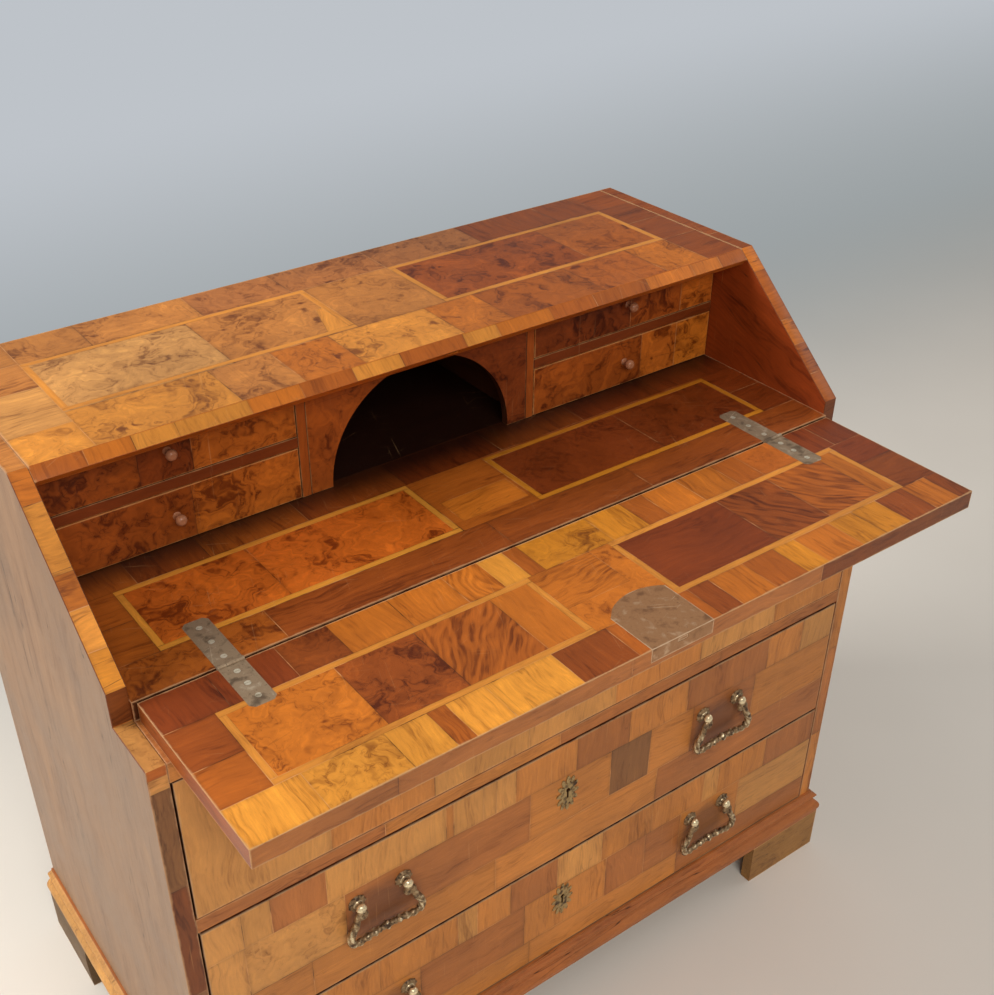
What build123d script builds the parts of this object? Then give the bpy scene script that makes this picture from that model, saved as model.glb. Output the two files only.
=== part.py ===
from build123d import *

import os
from math import atan2, cos, degrees, hypot, radians, sin, tan

# Slant-front writing bureau, walnut veneer on softwood, with the writing fall open.
# Millimetres. +Z is up, the drawers pull out along -Y and +X is to the right.
# The origin is on the floor, midway across the case and midway between the front edge
# of the open fall and the back of the case.

# Case
case_width = 1060.0
case_depth = 568.0
case_height = 966.0
side_thickness = 22.0
top_thickness = 22.0
nose_height = 12.0
back_thickness = 12.0
back_rebate = 10.0
back_board_count = 4
glue_line = 0.1
bottom_thickness = 16.0

# Writing bed and fall
writing_height = 785.5
fall_thickness = 24.5
fall_depth = 239.5
fall_side_clearance = 4.5
ledge_clearance = 0.3
hinge_setback = 72.5
hinge_gap = 4.0
end_face_setback = 79.0
slope_angle = 41.2
fall_recess = 9.5

# Rails, runners and drawer fronts
top_rail_height = 26.0
top_rail_depth = 110.0
rail_thickness = 20.5
rail_depth = 85.0
runner_width = 30.0
drawer_3_height = 185.5
drawer_2_height = 200.5
reveal = 1.5
shadow_gap = 4.0
lip_overlap = 8.0
lip_thickness = 11.0
lip_clearance = 0.5
stop_height = 4.0
stop_length = 18.0
stop_width = 40.0
stop_offset = 380.0

# Long drawers
front_thickness = 22.0
front_side_gap = 2.2
drawer_back_gap = 14.0
drawer_wall = 11.0
drawer_bottom_thickness = 8.0
drawer_bottom_rise = 5.0
drawer_groove = 5.0
drawer_headroom = 4.0
run_clearance = 0.3
tail_count = 4
tail_length = 14.0
tail_width = 26.0
tail_flare = 4.0

# Base
foot_height = 75.0
foot_length = 146.0
foot_thickness = 18.0
foot_projection = 13.0
foot_scoop = 16.0
foot_block = 34.0
moulding_height = 42.0
moulding_projection = 15.0
bottom_rail_thickness = 22.0

# Nest of small drawers
nest_setback = 70.9
nest_half_width = 180.0
partition_thickness = 13.0
arch_half_width = 136.5
arch_stilt = 2.0
arch_crown = 20.0
arch_thickness = 12.0
divider_thickness = 15.0
divider_sink = 0.75
small_front_thickness = 10.0
small_wall = 7.0
small_bottom_thickness = 4.0
small_bottom_rise = 2.0
small_groove = 3.0
small_gap = 1.0
small_tail_count = 2
small_tail_length = 6.0
small_tail_width = 14.0
small_tail_flare = 2.0
knob_radius = 7.0
knob_neck_radius = 3.4
knob_length = 17.0
knob_tenon_radius = 3.0
knob_play = 0.2

# Strap hinges
hinge_offset = 400.0
leaf_width = 31.0
leaf_thickness = 1.6
bed_leaf_length = 88.0
fall_leaf_length = 76.0
leaf_corner = 5.0
knuckle_radius = 3.0
knuckle_play = 0.4
hinge_pin_radius = 1.25
hinge_running = 0.06
hinge_fit = 0.02
screw_count = 3
screw_first = 15.0
screw_head_radius = 3.6
screw_shank_radius = 1.6
screw_length = 15.0
screw_slot = 0.9
screw_play = 0.2

# Fall lock
fall_lock_offset = 11.0
lock_plate_width = 90.0
lock_plate_depth = 78.0
lock_plate_crown = 12.0
lock_plate_corner = 12.0
lock_plate_thickness = 1.5
selvedge_height = 18.0
fall_lock_body = 60.0
fall_bolt_width = 14.0
fall_bolt_thickness = 4.2
fall_bolt_length = 42.0
fall_bolt_drop = 2.6
fall_bolt_travel = 12.0
bolt_play = 0.3

# Drawer locks
keyhole_offset = 6.0
keyhole_drop = 88.0
drawer_lock_width = 92.0
drawer_lock_height = 104.0
drawer_lock_thickness = 10.0
drawer_lock_wall = 2.0
drawer_bolt_width = 26.0
drawer_bolt_thickness = 4.5
drawer_bolt_length = 48.0
drawer_bolt_travel = 8.0
key_pin_radius = 1.5
keyhole_radius = 3.4
keyhole_slot = 3.2
keyhole_length = 18.0
escutcheon_half_width = 18.5
escutcheon_half_height = 30.0
escutcheon_leaf_count = 12
escutcheon_leaf_share = 0.34
escutcheon_leaf_half = 3.5
escutcheon_piercing = 1.3
escutcheon_thickness = 1.4

# Bail handles
handle_offset = 282.0
handle_drop = 80.0
post_spacing = 65.5
post_reach = 12.0
post_radius = 2.8
post_ball_radius = 3.8
rosette_radius = 11.5
rosette_thickness = 4.0
tang_radius = 2.4
tang_play = 0.2
nut_width = 12.0
nut_thickness = 3.5
bail_radius = 3.0
bail_pin_radius = 1.6
bail_running = 0.08
bail_half_width = 51.0
bail_drop = 54.0
bail_rise = 4.0
bail_shoulder = 3.5
bail_turn = 6.0
scroll_drop = 11.2
scroll_radius = 5.0
scroll_wire = 1.9
knop_radius = 4.8
bead_radius = 4.2
bead_offset = 17.5

# Places worked out from the sizes
half_width = case_width / 2
inner_half = half_width - side_thickness
fall_reach = fall_depth - hinge_setback
front_y = (fall_reach - case_depth) / 2
back_y = front_y + case_depth
hinge_y = front_y + hinge_setback
end_face_y = front_y + end_face_setback
fall_front_y = hinge_y - fall_depth
back_inner_y = back_y - back_thickness
ledge_z = writing_height - fall_thickness - ledge_clearance
slope = radians(slope_angle)
top_under_z = case_height - top_thickness
case_floor_z = foot_height + moulding_height
nest_rise = top_under_z - writing_height
nest_y = hinge_y + (nest_rise * cos(slope) - fall_recess) / sin(slope) + nest_setback
nest_inner = nest_half_width - partition_thickness
divider_z = writing_height + (nest_rise - divider_thickness) / 2 - divider_sink
front_half = inner_half - front_side_gap
front_inner_y = front_y + front_thickness

# Heights of the long drawers, counted from the fall down, and of the rails between them
drawer_3_z = case_floor_z + reveal
drawer_2_z = drawer_3_z + drawer_3_height + shadow_gap
upper_rail_z = drawer_2_z + drawer_2_height + shadow_gap
drawer_1_z = upper_rail_z + rail_thickness + reveal
drawer_1_top = ledge_z - top_rail_height - reveal
drawer_2_top = drawer_2_z + drawer_2_height
drawer_3_top = drawer_3_z + drawer_3_height
lower_rail_z = drawer_2_z + lip_overlap - rail_thickness
lower_rail_y = front_y + lip_thickness + lip_clearance

os.makedirs("parts", exist_ok=True)


def slope_y(z):
    """Depth of the slope plane at a height."""
    return hinge_y + ((z - writing_height) * cos(slope) - fall_recess) / sin(slope)


def slope_z(y):
    """Height of the slope plane at a depth."""
    return writing_height + (fall_recess + (y - hinge_y) * sin(slope)) / cos(slope)


def board(x0, x1, y0, y1, z0, z1, mode=Mode.ADD):
    """A square-edged board between two opposite corners."""
    with Locations(((x0 + x1) / 2, (y0 + y1) / 2, (z0 + z1) / 2)):
        Box(x1 - x0, y1 - y0, z1 - z0, mode=mode)


def finish(part, name):
    """Names a finished piece and writes it out."""
    part.label = name
    export_step(part, f"parts/{name}.step")


# ---------------------------------------------------------------- case
# Side panels: vertical front edge, ledge for the fall, slope, and a rebate for the back.
for side, name in ((-1, "side_left"), (1, "side_right")):
    with BuildPart() as side_panel:
        with BuildSketch(Plane.YZ.offset(side * (half_width - side_thickness / 2))):
            with BuildLine():
                Polyline(
                    (front_y, foot_height),
                    (back_y, foot_height),
                    (back_y, case_height),
                    (slope_y(case_height), case_height),
                    (end_face_y, slope_z(end_face_y)),
                    (end_face_y, ledge_z),
                    (front_y, ledge_z),
                    close=True,
                )
            make_face()
        extrude(amount=side_thickness / 2, both=True)
        rebate_x = sorted((side * inner_half, side * (inner_half + back_rebate)))
        board(*rebate_x, back_inner_y, back_y, foot_height, top_under_z, Mode.SUBTRACT)
    finish(side_panel.part, name)

# Top board between the sides; its nose is bevelled to the slope and undercut square to it.
nose_z = case_height - nose_height
undercut_y = slope_y(nose_z) + (nose_z - top_under_z) * tan(slope)
bolt_middle = fall_bolt_drop + fall_bolt_thickness / 2
with BuildPart() as top_board:
    with BuildSketch(Plane.YZ):
        with BuildLine():
            Polyline(
                (slope_y(case_height), case_height),
                (slope_y(nose_z), nose_z),
                (undercut_y, top_under_z),
                (back_y, top_under_z),
                (back_y, case_height),
                close=True,
            )
        make_face()
    extrude(amount=inner_half, both=True)
    # Mortise in the nose that takes the bolt of the closed fall.
    closed_fall = Plane(
        origin=(fall_lock_offset, hinge_y, writing_height),
        x_dir=(1, 0, 0),
        z_dir=(0, cos(slope), sin(slope)),
    )
    with BuildSketch(closed_fall.offset(fall_depth)):
        with Locations((0, -bolt_middle)):
            Rectangle(fall_bolt_width + 4 * bolt_play, fall_bolt_thickness + 2 * bolt_play)
    extrude(amount=fall_bolt_travel + 2 * bolt_play, mode=Mode.SUBTRACT)
finish(top_board.part, "top_board")

# Back: upright boards nailed into the rebates of the sides, under the top.
board_pitch = 2 * (inner_half + back_rebate) / back_board_count
with BuildPart() as back_boards:
    with Locations((0, (back_inner_y + back_y) / 2, (foot_height + top_under_z) / 2)):
        with GridLocations(board_pitch, 1, back_board_count, 1):
            Box(board_pitch - glue_line, back_thickness, top_under_z - foot_height)
finish(back_boards.part, "back_boards")

# Floor of the case, with the rail that closes it in front.
floor_y = front_y + bottom_rail_thickness
with BuildPart() as case_floor:
    board(
        -inner_half, inner_half,
        floor_y + glue_line, back_inner_y,
        case_floor_z - bottom_thickness, case_floor_z,
    )
    board(-inner_half, inner_half, front_y, floor_y, foot_height, case_floor_z)
finish(case_floor.part, "case_floor")


def bolt_pocket(under_z):
    """Mortise for a drawer bolt, cut up into the rail that lies above the lock."""
    pocket_y = front_inner_y - drawer_lock_thickness / 2
    half_x = drawer_bolt_width / 2 + 2 * bolt_play
    half_y = drawer_bolt_thickness / 2 + 2 * bolt_play
    board(
        keyhole_offset - half_x, keyhole_offset + half_x,
        pocket_y - half_y, pocket_y + half_y,
        under_z, under_z + drawer_bolt_travel + bolt_play,
        Mode.SUBTRACT,
    )


# Top rail: carries the rear of the open fall and the front of the writing bed.
with BuildPart() as top_rail:
    board(-inner_half, inner_half, front_y, front_y + top_rail_depth, ledge_z - top_rail_height, ledge_z)
    bolt_pocket(ledge_z - top_rail_height)
finish(top_rail.part, "top_rail")

# Drawer rails: one shows under drawer 1, the other lies behind the lips of drawers 2 and 3.
with BuildPart() as drawer_rails:
    for rail_y, rail_z in ((front_y, upper_rail_z), (lower_rail_y, lower_rail_z)):
        board(-inner_half, inner_half, rail_y, rail_y + rail_depth, rail_z, rail_z + rail_thickness)
        bolt_pocket(rail_z)
finish(drawer_rails.part, "drawer_rails")

# Runners behind the rails, and the blocks that stop the closed drawers.
upper_rail_top = upper_rail_z + rail_thickness
lower_rail_top = lower_rail_z + rail_thickness
with BuildPart() as drawer_runners:
    for side in (-1, 1):
        runner_x = sorted((side * inner_half, side * (inner_half - runner_width)))
        for rail_y, rail_z in ((front_y, upper_rail_z), (lower_rail_y, lower_rail_z)):
            board(*runner_x, rail_y + rail_depth, back_inner_y, rail_z, rail_z + rail_thickness)
        for floor_z in (upper_rail_top, lower_rail_top, case_floor_z):
            stop_y = front_inner_y + run_clearance
            stop_x = side * stop_offset
            board(
                stop_x - stop_width / 2, stop_x + stop_width / 2,
                stop_y, stop_y + stop_length,
                floor_z, floor_z + stop_height,
            )
finish(drawer_runners.part, "drawer_runners")

# ---------------------------------------------------------------- base


def moulding_outline():
    """Half of a closed section: x stands out from the case, y rises from its underside."""
    p = moulding_projection
    h = moulding_height
    Polyline((0, h), (0, 0), (0.86 * p, 0), (0.86 * p, 0.07 * h))
    ThreePointArc((0.86 * p, 0.07 * h), (p, 0.30 * h), (0.62 * p, 0.54 * h))
    ThreePointArc((0.62 * p, 0.54 * h), (0.38 * p, 0.61 * h), (0.42 * p, 0.71 * h))
    ThreePointArc((0.42 * p, 0.71 * h), (0.66 * p, 0.80 * h), (0.42 * p, 0.89 * h))
    Polyline((0.42 * p, 0.89 * h), (0.20 * p, 0.93 * h), (0.20 * p, h), (0, h))


# Base moulding: a large ovolo under a cove and a bead, mitred at both front corners.
with BuildPart() as moulding_front:
    with BuildSketch(Plane(origin=(0, front_y, foot_height), x_dir=(0, -1, 0), z_dir=(-1, 0, 0))):
        with BuildLine():
            moulding_outline()
        make_face()
    extrude(amount=half_width + moulding_projection, both=True)
    for side in (-1, 1):
        split(bisect_by=Plane(origin=(side * half_width, front_y, 0), z_dir=(-side, -1, 0)), keep=Keep.TOP)

with BuildPart() as base_moulding:
    with BuildSketch(Plane(origin=(half_width, back_y, foot_height), x_dir=(1, 0, 0), z_dir=(0, -1, 0))):
        with BuildLine():
            moulding_outline()
        make_face()
    extrude(amount=case_depth + moulding_projection)
    split(bisect_by=Plane(origin=(half_width, front_y + glue_line, 0), z_dir=(1, 1, 0)), keep=Keep.TOP)
    mirror(about=Plane.YZ)
    add(moulding_front.part)
finish(base_moulding.part, "base_moulding")


def bracket_outline(length):
    """Bracket face: square at the corner of the case, hollowed at its free end."""
    Polyline((0, foot_height), (0, 0), (length, 0))
    ThreePointArc(
        (length, 0),
        (length - 0.75 * foot_scoop, 0.45 * foot_height),
        (length - 0.25 * foot_scoop, foot_height),
    )
    Line((length - 0.25 * foot_scoop, foot_height), (0, foot_height))


# Bracket feet on the right, mirrored to the left: two boards meet at the corner, and
# a glue block stands behind them.
corner_x = half_width + foot_projection
corner_y = front_y - foot_projection
block_x1 = corner_x - foot_thickness - glue_line
with BuildPart() as front_brackets:
    with BuildSketch(Plane(origin=(corner_x, corner_y, 0), x_dir=(-1, 0, 0), z_dir=(0, 1, 0))):
        Rectangle(foot_length, foot_height, align=Align.MIN)
    extrude(amount=foot_thickness)
    split(bisect_by=Plane(origin=(corner_x, corner_y, 0), z_dir=(-1, -1, 0)), keep=Keep.TOP)

with BuildPart() as front_feet:
    with BuildSketch(Plane(origin=(corner_x, corner_y, 0), x_dir=(0, 1, 0), z_dir=(1, 0, 0))):
        with BuildLine():
            bracket_outline(foot_length)
        make_face()
    extrude(amount=-foot_thickness)
    split(bisect_by=Plane(origin=(corner_x, corner_y + glue_line, 0), z_dir=(1, 1, 0)), keep=Keep.TOP)
    add(front_brackets.part)
    block_y0 = corner_y + foot_thickness + glue_line
    board(block_x1 - foot_block, block_x1, block_y0, block_y0 + foot_block, 0, foot_height)
    mirror(about=Plane.YZ)
finish(front_feet.part, "front_feet")

with BuildPart() as rear_feet:
    with BuildSketch(Plane(origin=(corner_x, back_y, 0), x_dir=(0, -1, 0), z_dir=(-1, 0, 0))):
        with BuildLine():
            bracket_outline(foot_length)
        make_face()
    extrude(amount=foot_thickness)
    board(
        block_x1 - foot_length + foot_thickness, block_x1,
        back_y - foot_thickness, back_y,
        0, foot_height,
    )
    block_y1 = back_y - foot_thickness - glue_line
    board(block_x1 - foot_block, block_x1, block_y1 - foot_block, block_y1, 0, foot_height)
    mirror(about=Plane.YZ)
finish(rear_feet.part, "rear_feet")

# ---------------------------------------------------------------- strap hinges
# Countersunk screw with a slotted head, and the hole that it leaves in wood and metal.
with BuildPart() as screw:
    with BuildSketch(Plane.XZ):
        with BuildLine():
            Polyline(
                (0, 0),
                (screw_head_radius, 0),
                (screw_shank_radius, screw_shank_radius - screw_head_radius),
                (screw_shank_radius, 2 * screw_shank_radius - screw_length),
                (0, -screw_length),
                close=True,
            )
        make_face()
    revolve(axis=Axis.Z)
    board(
        -screw_head_radius, screw_head_radius,
        -screw_slot / 2, screw_slot / 2,
        -screw_slot, 0,
        Mode.SUBTRACT,
    )
with BuildPart() as screw_hole:
    with BuildSketch(Plane.XZ):
        with BuildLine():
            Polyline(
                (0, 0),
                (screw_head_radius + screw_play, 0),
                (screw_shank_radius + screw_play, screw_shank_radius - screw_head_radius),
                (screw_shank_radius + screw_play, -screw_length - screw_play),
                (0, -screw_length - screw_play),
                close=True,
            )
        make_face()
    revolve(axis=Axis.Z)


def screw_places(direction, length):
    """Screw centres of both hinges on the bed (1) or on the fall (-1)."""
    pitch = (length - 2 * screw_first) / (screw_count - 1)
    places = []
    for x in (-hinge_offset, hinge_offset):
        for i in range(screw_count):
            y = hinge_y + direction * (screw_first + i * pitch)
            places.append((x, y, writing_height))
    return places


def leaf_plan(direction, near_edge, length):
    """Plan of both hinge leaves, with their far corners cut off."""
    near = hinge_y + direction * near_edge
    far = hinge_y + direction * length
    corner = far - direction * leaf_corner
    half = leaf_width / 2
    for x in (-hinge_offset, hinge_offset):
        Polygon(
            (x - half, near),
            (x + half, near),
            (x + half, corner),
            (x + half - leaf_corner, far),
            (x - half + leaf_corner, far),
            (x - half, corner),
            align=None,
        )


barrels = ((-hinge_offset, hinge_y, writing_height), (hinge_offset, hinge_y, writing_height))
knuckle_width = leaf_width / 3 - knuckle_play
knuckle_reach = knuckle_radius + knuckle_play
hinge_sides = (
    ("bed_hinge_leaves", 1, bed_leaf_length, (0,), hinge_running),
    ("fall_hinge_leaves", -1, fall_leaf_length, (-leaf_width / 3, leaf_width / 3), hinge_fit),
)
hinge_beds = {}
for name, direction, length, offsets, bore_play in hinge_sides:
    # Leaves on one side of the barrels, with their knuckles.
    with BuildPart() as leaves:
        with BuildSketch(Plane.XY.offset(writing_height)):
            leaf_plan(direction, knuckle_reach, length)
        extrude(amount=-leaf_thickness)
        for x in (-hinge_offset, hinge_offset):
            for offset in offsets:
                with Locations((x + offset, hinge_y, writing_height)):
                    Cylinder(knuckle_radius, knuckle_width, rotation=(0, 90, 0))
                reach_y = hinge_y + direction * knuckle_reach / 2
                with Locations((x + offset, reach_y, writing_height - leaf_thickness / 2)):
                    Box(knuckle_width, knuckle_reach, leaf_thickness)
        with Locations(*barrels):
            Cylinder(
                hinge_pin_radius + bore_play,
                2 * leaf_width,
                rotation=(0, 90, 0),
                mode=Mode.SUBTRACT,
            )
        with Locations(*screw_places(direction, length)):
            add(screw_hole.part, mode=Mode.SUBTRACT)
    finish(leaves.part, name)

    # Room that they take in the board: beds, barrels and screw holes.
    with BuildPart() as hinge_bed:
        with BuildSketch(Plane.XY.offset(writing_height)):
            leaf_plan(direction, 0, length)
        extrude(amount=-leaf_thickness)
        with Locations(*barrels):
            Cylinder(knuckle_reach, leaf_width + 2 * knuckle_play, rotation=(0, 90, 0))
        with Locations(*screw_places(direction, length)):
            add(screw_hole.part)
    hinge_beds[direction] = hinge_bed.part

with BuildPart() as hinge_pins:
    with Locations((-hinge_offset, hinge_y, writing_height), (hinge_offset, hinge_y, writing_height)):
        Cylinder(hinge_pin_radius, leaf_width, rotation=(0, 90, 0))
finish(hinge_pins.part, "hinge_pins")

with BuildPart() as bed_hinge_screws:
    with Locations(*screw_places(1, bed_leaf_length)):
        add(screw.part)
finish(bed_hinge_screws.part, "bed_hinge_screws")

with BuildPart() as fall_hinge_screws:
    with Locations(*screw_places(-1, fall_leaf_length)):
        add(screw.part)
finish(fall_hinge_screws.part, "fall_hinge_screws")

# ---------------------------------------------------------------- bed and fall
# Writing bed, fixed on the top rail and between the sides.
with BuildPart() as writing_bed:
    board(-inner_half, inner_half, hinge_y + hinge_gap / 2, back_inner_y, ledge_z, writing_height)
    add(hinge_beds[1], mode=Mode.SUBTRACT)
finish(writing_bed.part, "writing_bed")


def lock_plate_outline():
    """Plan of the fall's lock plate: bowed rear edge and one corner cut off."""
    x0 = fall_lock_offset - lock_plate_width / 2
    x1 = fall_lock_offset + lock_plate_width / 2
    rear = fall_front_y + lock_plate_depth
    Polyline((x0, rear - lock_plate_corner), (x0, fall_front_y), (x1, fall_front_y), (x1, rear))
    ThreePointArc(
        (x1, rear),
        (fall_lock_offset, rear + lock_plate_crown),
        (x0 + lock_plate_corner, rear),
    )
    Line((x0 + lock_plate_corner, rear), (x0, rear - lock_plate_corner))


def fall_bolt_room(grow, mode):
    """Space round the fall's bolt, from the front edge to the end of the lock body."""
    half = fall_bolt_width / 2 + grow
    board(
        fall_lock_offset - half, fall_lock_offset + half,
        fall_front_y, fall_front_y + fall_lock_body + grow,
        writing_height - fall_bolt_drop - fall_bolt_thickness - grow, writing_height - fall_bolt_drop + grow,
        mode,
    )


def escutcheon():
    """Leafy plate round a keyhole: leaves point outwards from an oval, pierced between them."""
    root = 1 - escutcheon_leaf_share
    Ellipse(root * escutcheon_half_width, root * escutcheon_half_height)
    for i in range(escutcheon_leaf_count):
        turn = radians(360 * i / escutcheon_leaf_count)
        rim_x = escutcheon_half_width * sin(turn)
        rim_y = escutcheon_half_height * cos(turn)
        leaf_half_length = escutcheon_leaf_share * hypot(rim_x, rim_y)
        with Locations((root * rim_x, root * rim_y)):
            Ellipse(leaf_half_length, escutcheon_leaf_half, rotation=degrees(atan2(rim_y, rim_x)))
    for i in range(escutcheon_leaf_count):
        turn = radians(360 * (i + 0.5) / escutcheon_leaf_count)
        with Locations((root * escutcheon_half_width * sin(turn), root * escutcheon_half_height * cos(turn))):
            Circle(escutcheon_piercing, mode=Mode.SUBTRACT)
    keyhole(Mode.SUBTRACT)


def keyhole(mode):
    """Keyhole: a round eye over a slot."""
    with Locations((0, keyhole_length / 2 - keyhole_radius)):
        Circle(keyhole_radius, mode=mode)
    with Locations((0, -keyhole_radius / 2)):
        Rectangle(keyhole_slot, keyhole_length - keyhole_radius, mode=mode)


# Where the key goes into the fall: from its outer face, which lies underneath now.
fall_key_y = fall_front_y + 0.75 * fall_lock_body
fall_under = Plane(
    origin=(fall_lock_offset, fall_key_y, writing_height - fall_thickness),
    x_dir=(1, 0, 0),
    z_dir=(0, 0, -1),
)
lock_shell = drawer_lock_wall

# Fall: a single board that rests on the ledge, with hinges and lock let in flush.
with BuildPart() as fall_board:
    fall_half = inner_half - fall_side_clearance
    board(
        -fall_half, fall_half,
        fall_front_y, hinge_y - hinge_gap / 2,
        writing_height - fall_thickness, writing_height,
    )
    add(hinge_beds[-1], mode=Mode.SUBTRACT)
    with BuildSketch(Plane.XY.offset(writing_height)):
        with BuildLine():
            lock_plate_outline()
        make_face()
    extrude(amount=-lock_plate_thickness, mode=Mode.SUBTRACT)
    half_plate = lock_plate_width / 2
    board(
        fall_lock_offset - half_plate, fall_lock_offset + half_plate,
        fall_front_y, fall_front_y + lock_plate_thickness,
        writing_height - selvedge_height, writing_height,
        Mode.SUBTRACT,
    )
    fall_bolt_room(bolt_play + lock_shell, Mode.SUBTRACT)
    with BuildSketch(fall_under):
        keyhole(Mode.ADD)
    extrude(amount=-fall_thickness + fall_bolt_drop, mode=Mode.SUBTRACT)
finish(fall_board.part, "fall_board")

# Fall lock: plate with a selvedge over the front edge and a shell round the bolt.
with BuildPart() as fall_lock:
    with BuildSketch(Plane.XY.offset(writing_height)):
        with BuildLine():
            lock_plate_outline()
        make_face()
    extrude(amount=-lock_plate_thickness)
    board(
        fall_lock_offset - half_plate, fall_lock_offset + half_plate,
        fall_front_y, fall_front_y + lock_plate_thickness,
        writing_height - selvedge_height, writing_height,
    )
    fall_bolt_room(bolt_play + lock_shell, Mode.ADD)
    fall_bolt_room(bolt_play, Mode.SUBTRACT)
    with BuildSketch(fall_under.offset(-fall_thickness + fall_bolt_drop + fall_bolt_thickness)):
        keyhole(Mode.ADD)
    extrude(amount=fall_thickness / 2, mode=Mode.SUBTRACT)
finish(fall_lock.part, "fall_lock")

with BuildPart() as fall_lock_bolt:
    half_bolt = fall_bolt_width / 2
    bolt_top = writing_height - fall_bolt_drop
    board(
        fall_lock_offset - half_bolt, fall_lock_offset + half_bolt,
        fall_front_y + bolt_play, fall_front_y + bolt_play + fall_bolt_length,
        bolt_top - fall_bolt_thickness, bolt_top,
    )
finish(fall_lock_bolt.part, "fall_lock_bolt")

with BuildPart() as fall_escutcheon:
    with BuildSketch(fall_under):
        escutcheon()
    extrude(amount=escutcheon_thickness)
finish(fall_escutcheon.part, "fall_escutcheon")

# ---------------------------------------------------------------- nest of small drawers
# Two upright boards between bed and top divide the nest into three.
with BuildPart() as nest_partitions:
    for side in (-1, 1):
        partition_x = sorted((side * nest_inner, side * nest_half_width))
        board(*partition_x, nest_y, back_inner_y, writing_height, top_under_z)
finish(nest_partitions.part, "nest_partitions")

# A shelf between the upper and the lower drawer on each side.
with BuildPart() as nest_shelves:
    for side in (-1, 1):
        shelf_x = sorted((side * nest_half_width, side * inner_half))
        board(*shelf_x, nest_y, back_inner_y, divider_z, divider_z + divider_thickness)
finish(nest_shelves.part, "nest_shelves")

# Arched panel in front of the middle pigeonhole.
arch_spring_z = writing_height + arch_stilt
with BuildPart() as arch_panel:
    board(-nest_inner, nest_inner, nest_y, nest_y + arch_thickness, writing_height, top_under_z)
    with BuildSketch(Plane.XZ.offset(-nest_y)):
        with Locations((0, arch_spring_z)):
            Ellipse(arch_half_width, nest_rise - arch_stilt - arch_crown)
    extrude(amount=-arch_thickness, mode=Mode.SUBTRACT)
finish(arch_panel.part, "arch_panel")


# ---------------------------------------------------------------- drawers
def tails(y_front, y_shoulder, z0, z1, count, width, flare, grow=0.0):
    """Dovetails side by side up the end of a drawer side, wider towards their tips."""
    pitch = (z1 - z0) / count
    y_tip = y_front + (grow if y_front > y_shoulder else -grow)
    for i in range(count):
        z = z0 + (i + 0.5) * pitch
        root = width / 2 - flare / 2 + grow
        tip = width / 2 + flare / 2 + grow
        Polygon(
            (y_tip, z - tip),
            (y_shoulder, z - root),
            (y_shoulder, z + root),
            (y_tip, z + tip),
            align=None,
        )


# Long drawers: name, front from and to, rear half of the front from and to, opening from and to.
long_drawers = (
    ("1", drawer_1_z, drawer_1_top, drawer_1_z, drawer_1_top, upper_rail_top, drawer_1_top + reveal),
    (
        "2", drawer_2_z, drawer_2_top,
        lower_rail_top + lip_clearance, drawer_2_top,
        lower_rail_top, upper_rail_z,
    ),
    (
        "3", drawer_3_z, drawer_3_top,
        drawer_3_z, lower_rail_z - reveal,
        case_floor_z, lower_rail_z,
    ),
)

# Post of a bail handle, drawn with its foot on the origin: a tang through the drawer
# front, a domed rosette, and a ball with a cross hole for the hook of the bail.
tang_end = front_thickness + nut_thickness + 1
ball_seat = (post_ball_radius**2 - post_radius**2) ** 0.5
with BuildPart() as post:
    with BuildSketch():
        with BuildLine():
            Polyline(
                (0, -post_reach - post_ball_radius),
                (0, tang_end),
                (tang_radius, tang_end),
                (tang_radius, 0),
                (rosette_radius, 0),
            )
            ThreePointArc(
                (rosette_radius, 0),
                (0.75 * rosette_radius, -0.8 * rosette_thickness),
                (post_radius, -rosette_thickness),
            )
            Line((post_radius, -rosette_thickness), (post_radius, ball_seat - post_reach))
            ThreePointArc(
                (post_radius, ball_seat - post_reach),
                (post_ball_radius, -post_reach),
                (0, -post_reach - post_ball_radius),
            )
        make_face()
    revolve(axis=Axis.Y)
    with Locations((0, -post_reach, 0)):
        Cylinder(
            bail_pin_radius + bail_running,
            4 * post_ball_radius,
            rotation=(0, 90, 0),
            mode=Mode.SUBTRACT,
        )

# Square nut that draws the post home from inside the drawer.
with BuildPart() as nut:
    with Locations((0, front_thickness + nut_thickness / 2, 0)):
        Box(nut_width, nut_thickness, nut_width)
        Cylinder(tang_radius + tang_play, nut_thickness, rotation=(90, 0, 0), mode=Mode.SUBTRACT)

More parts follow.
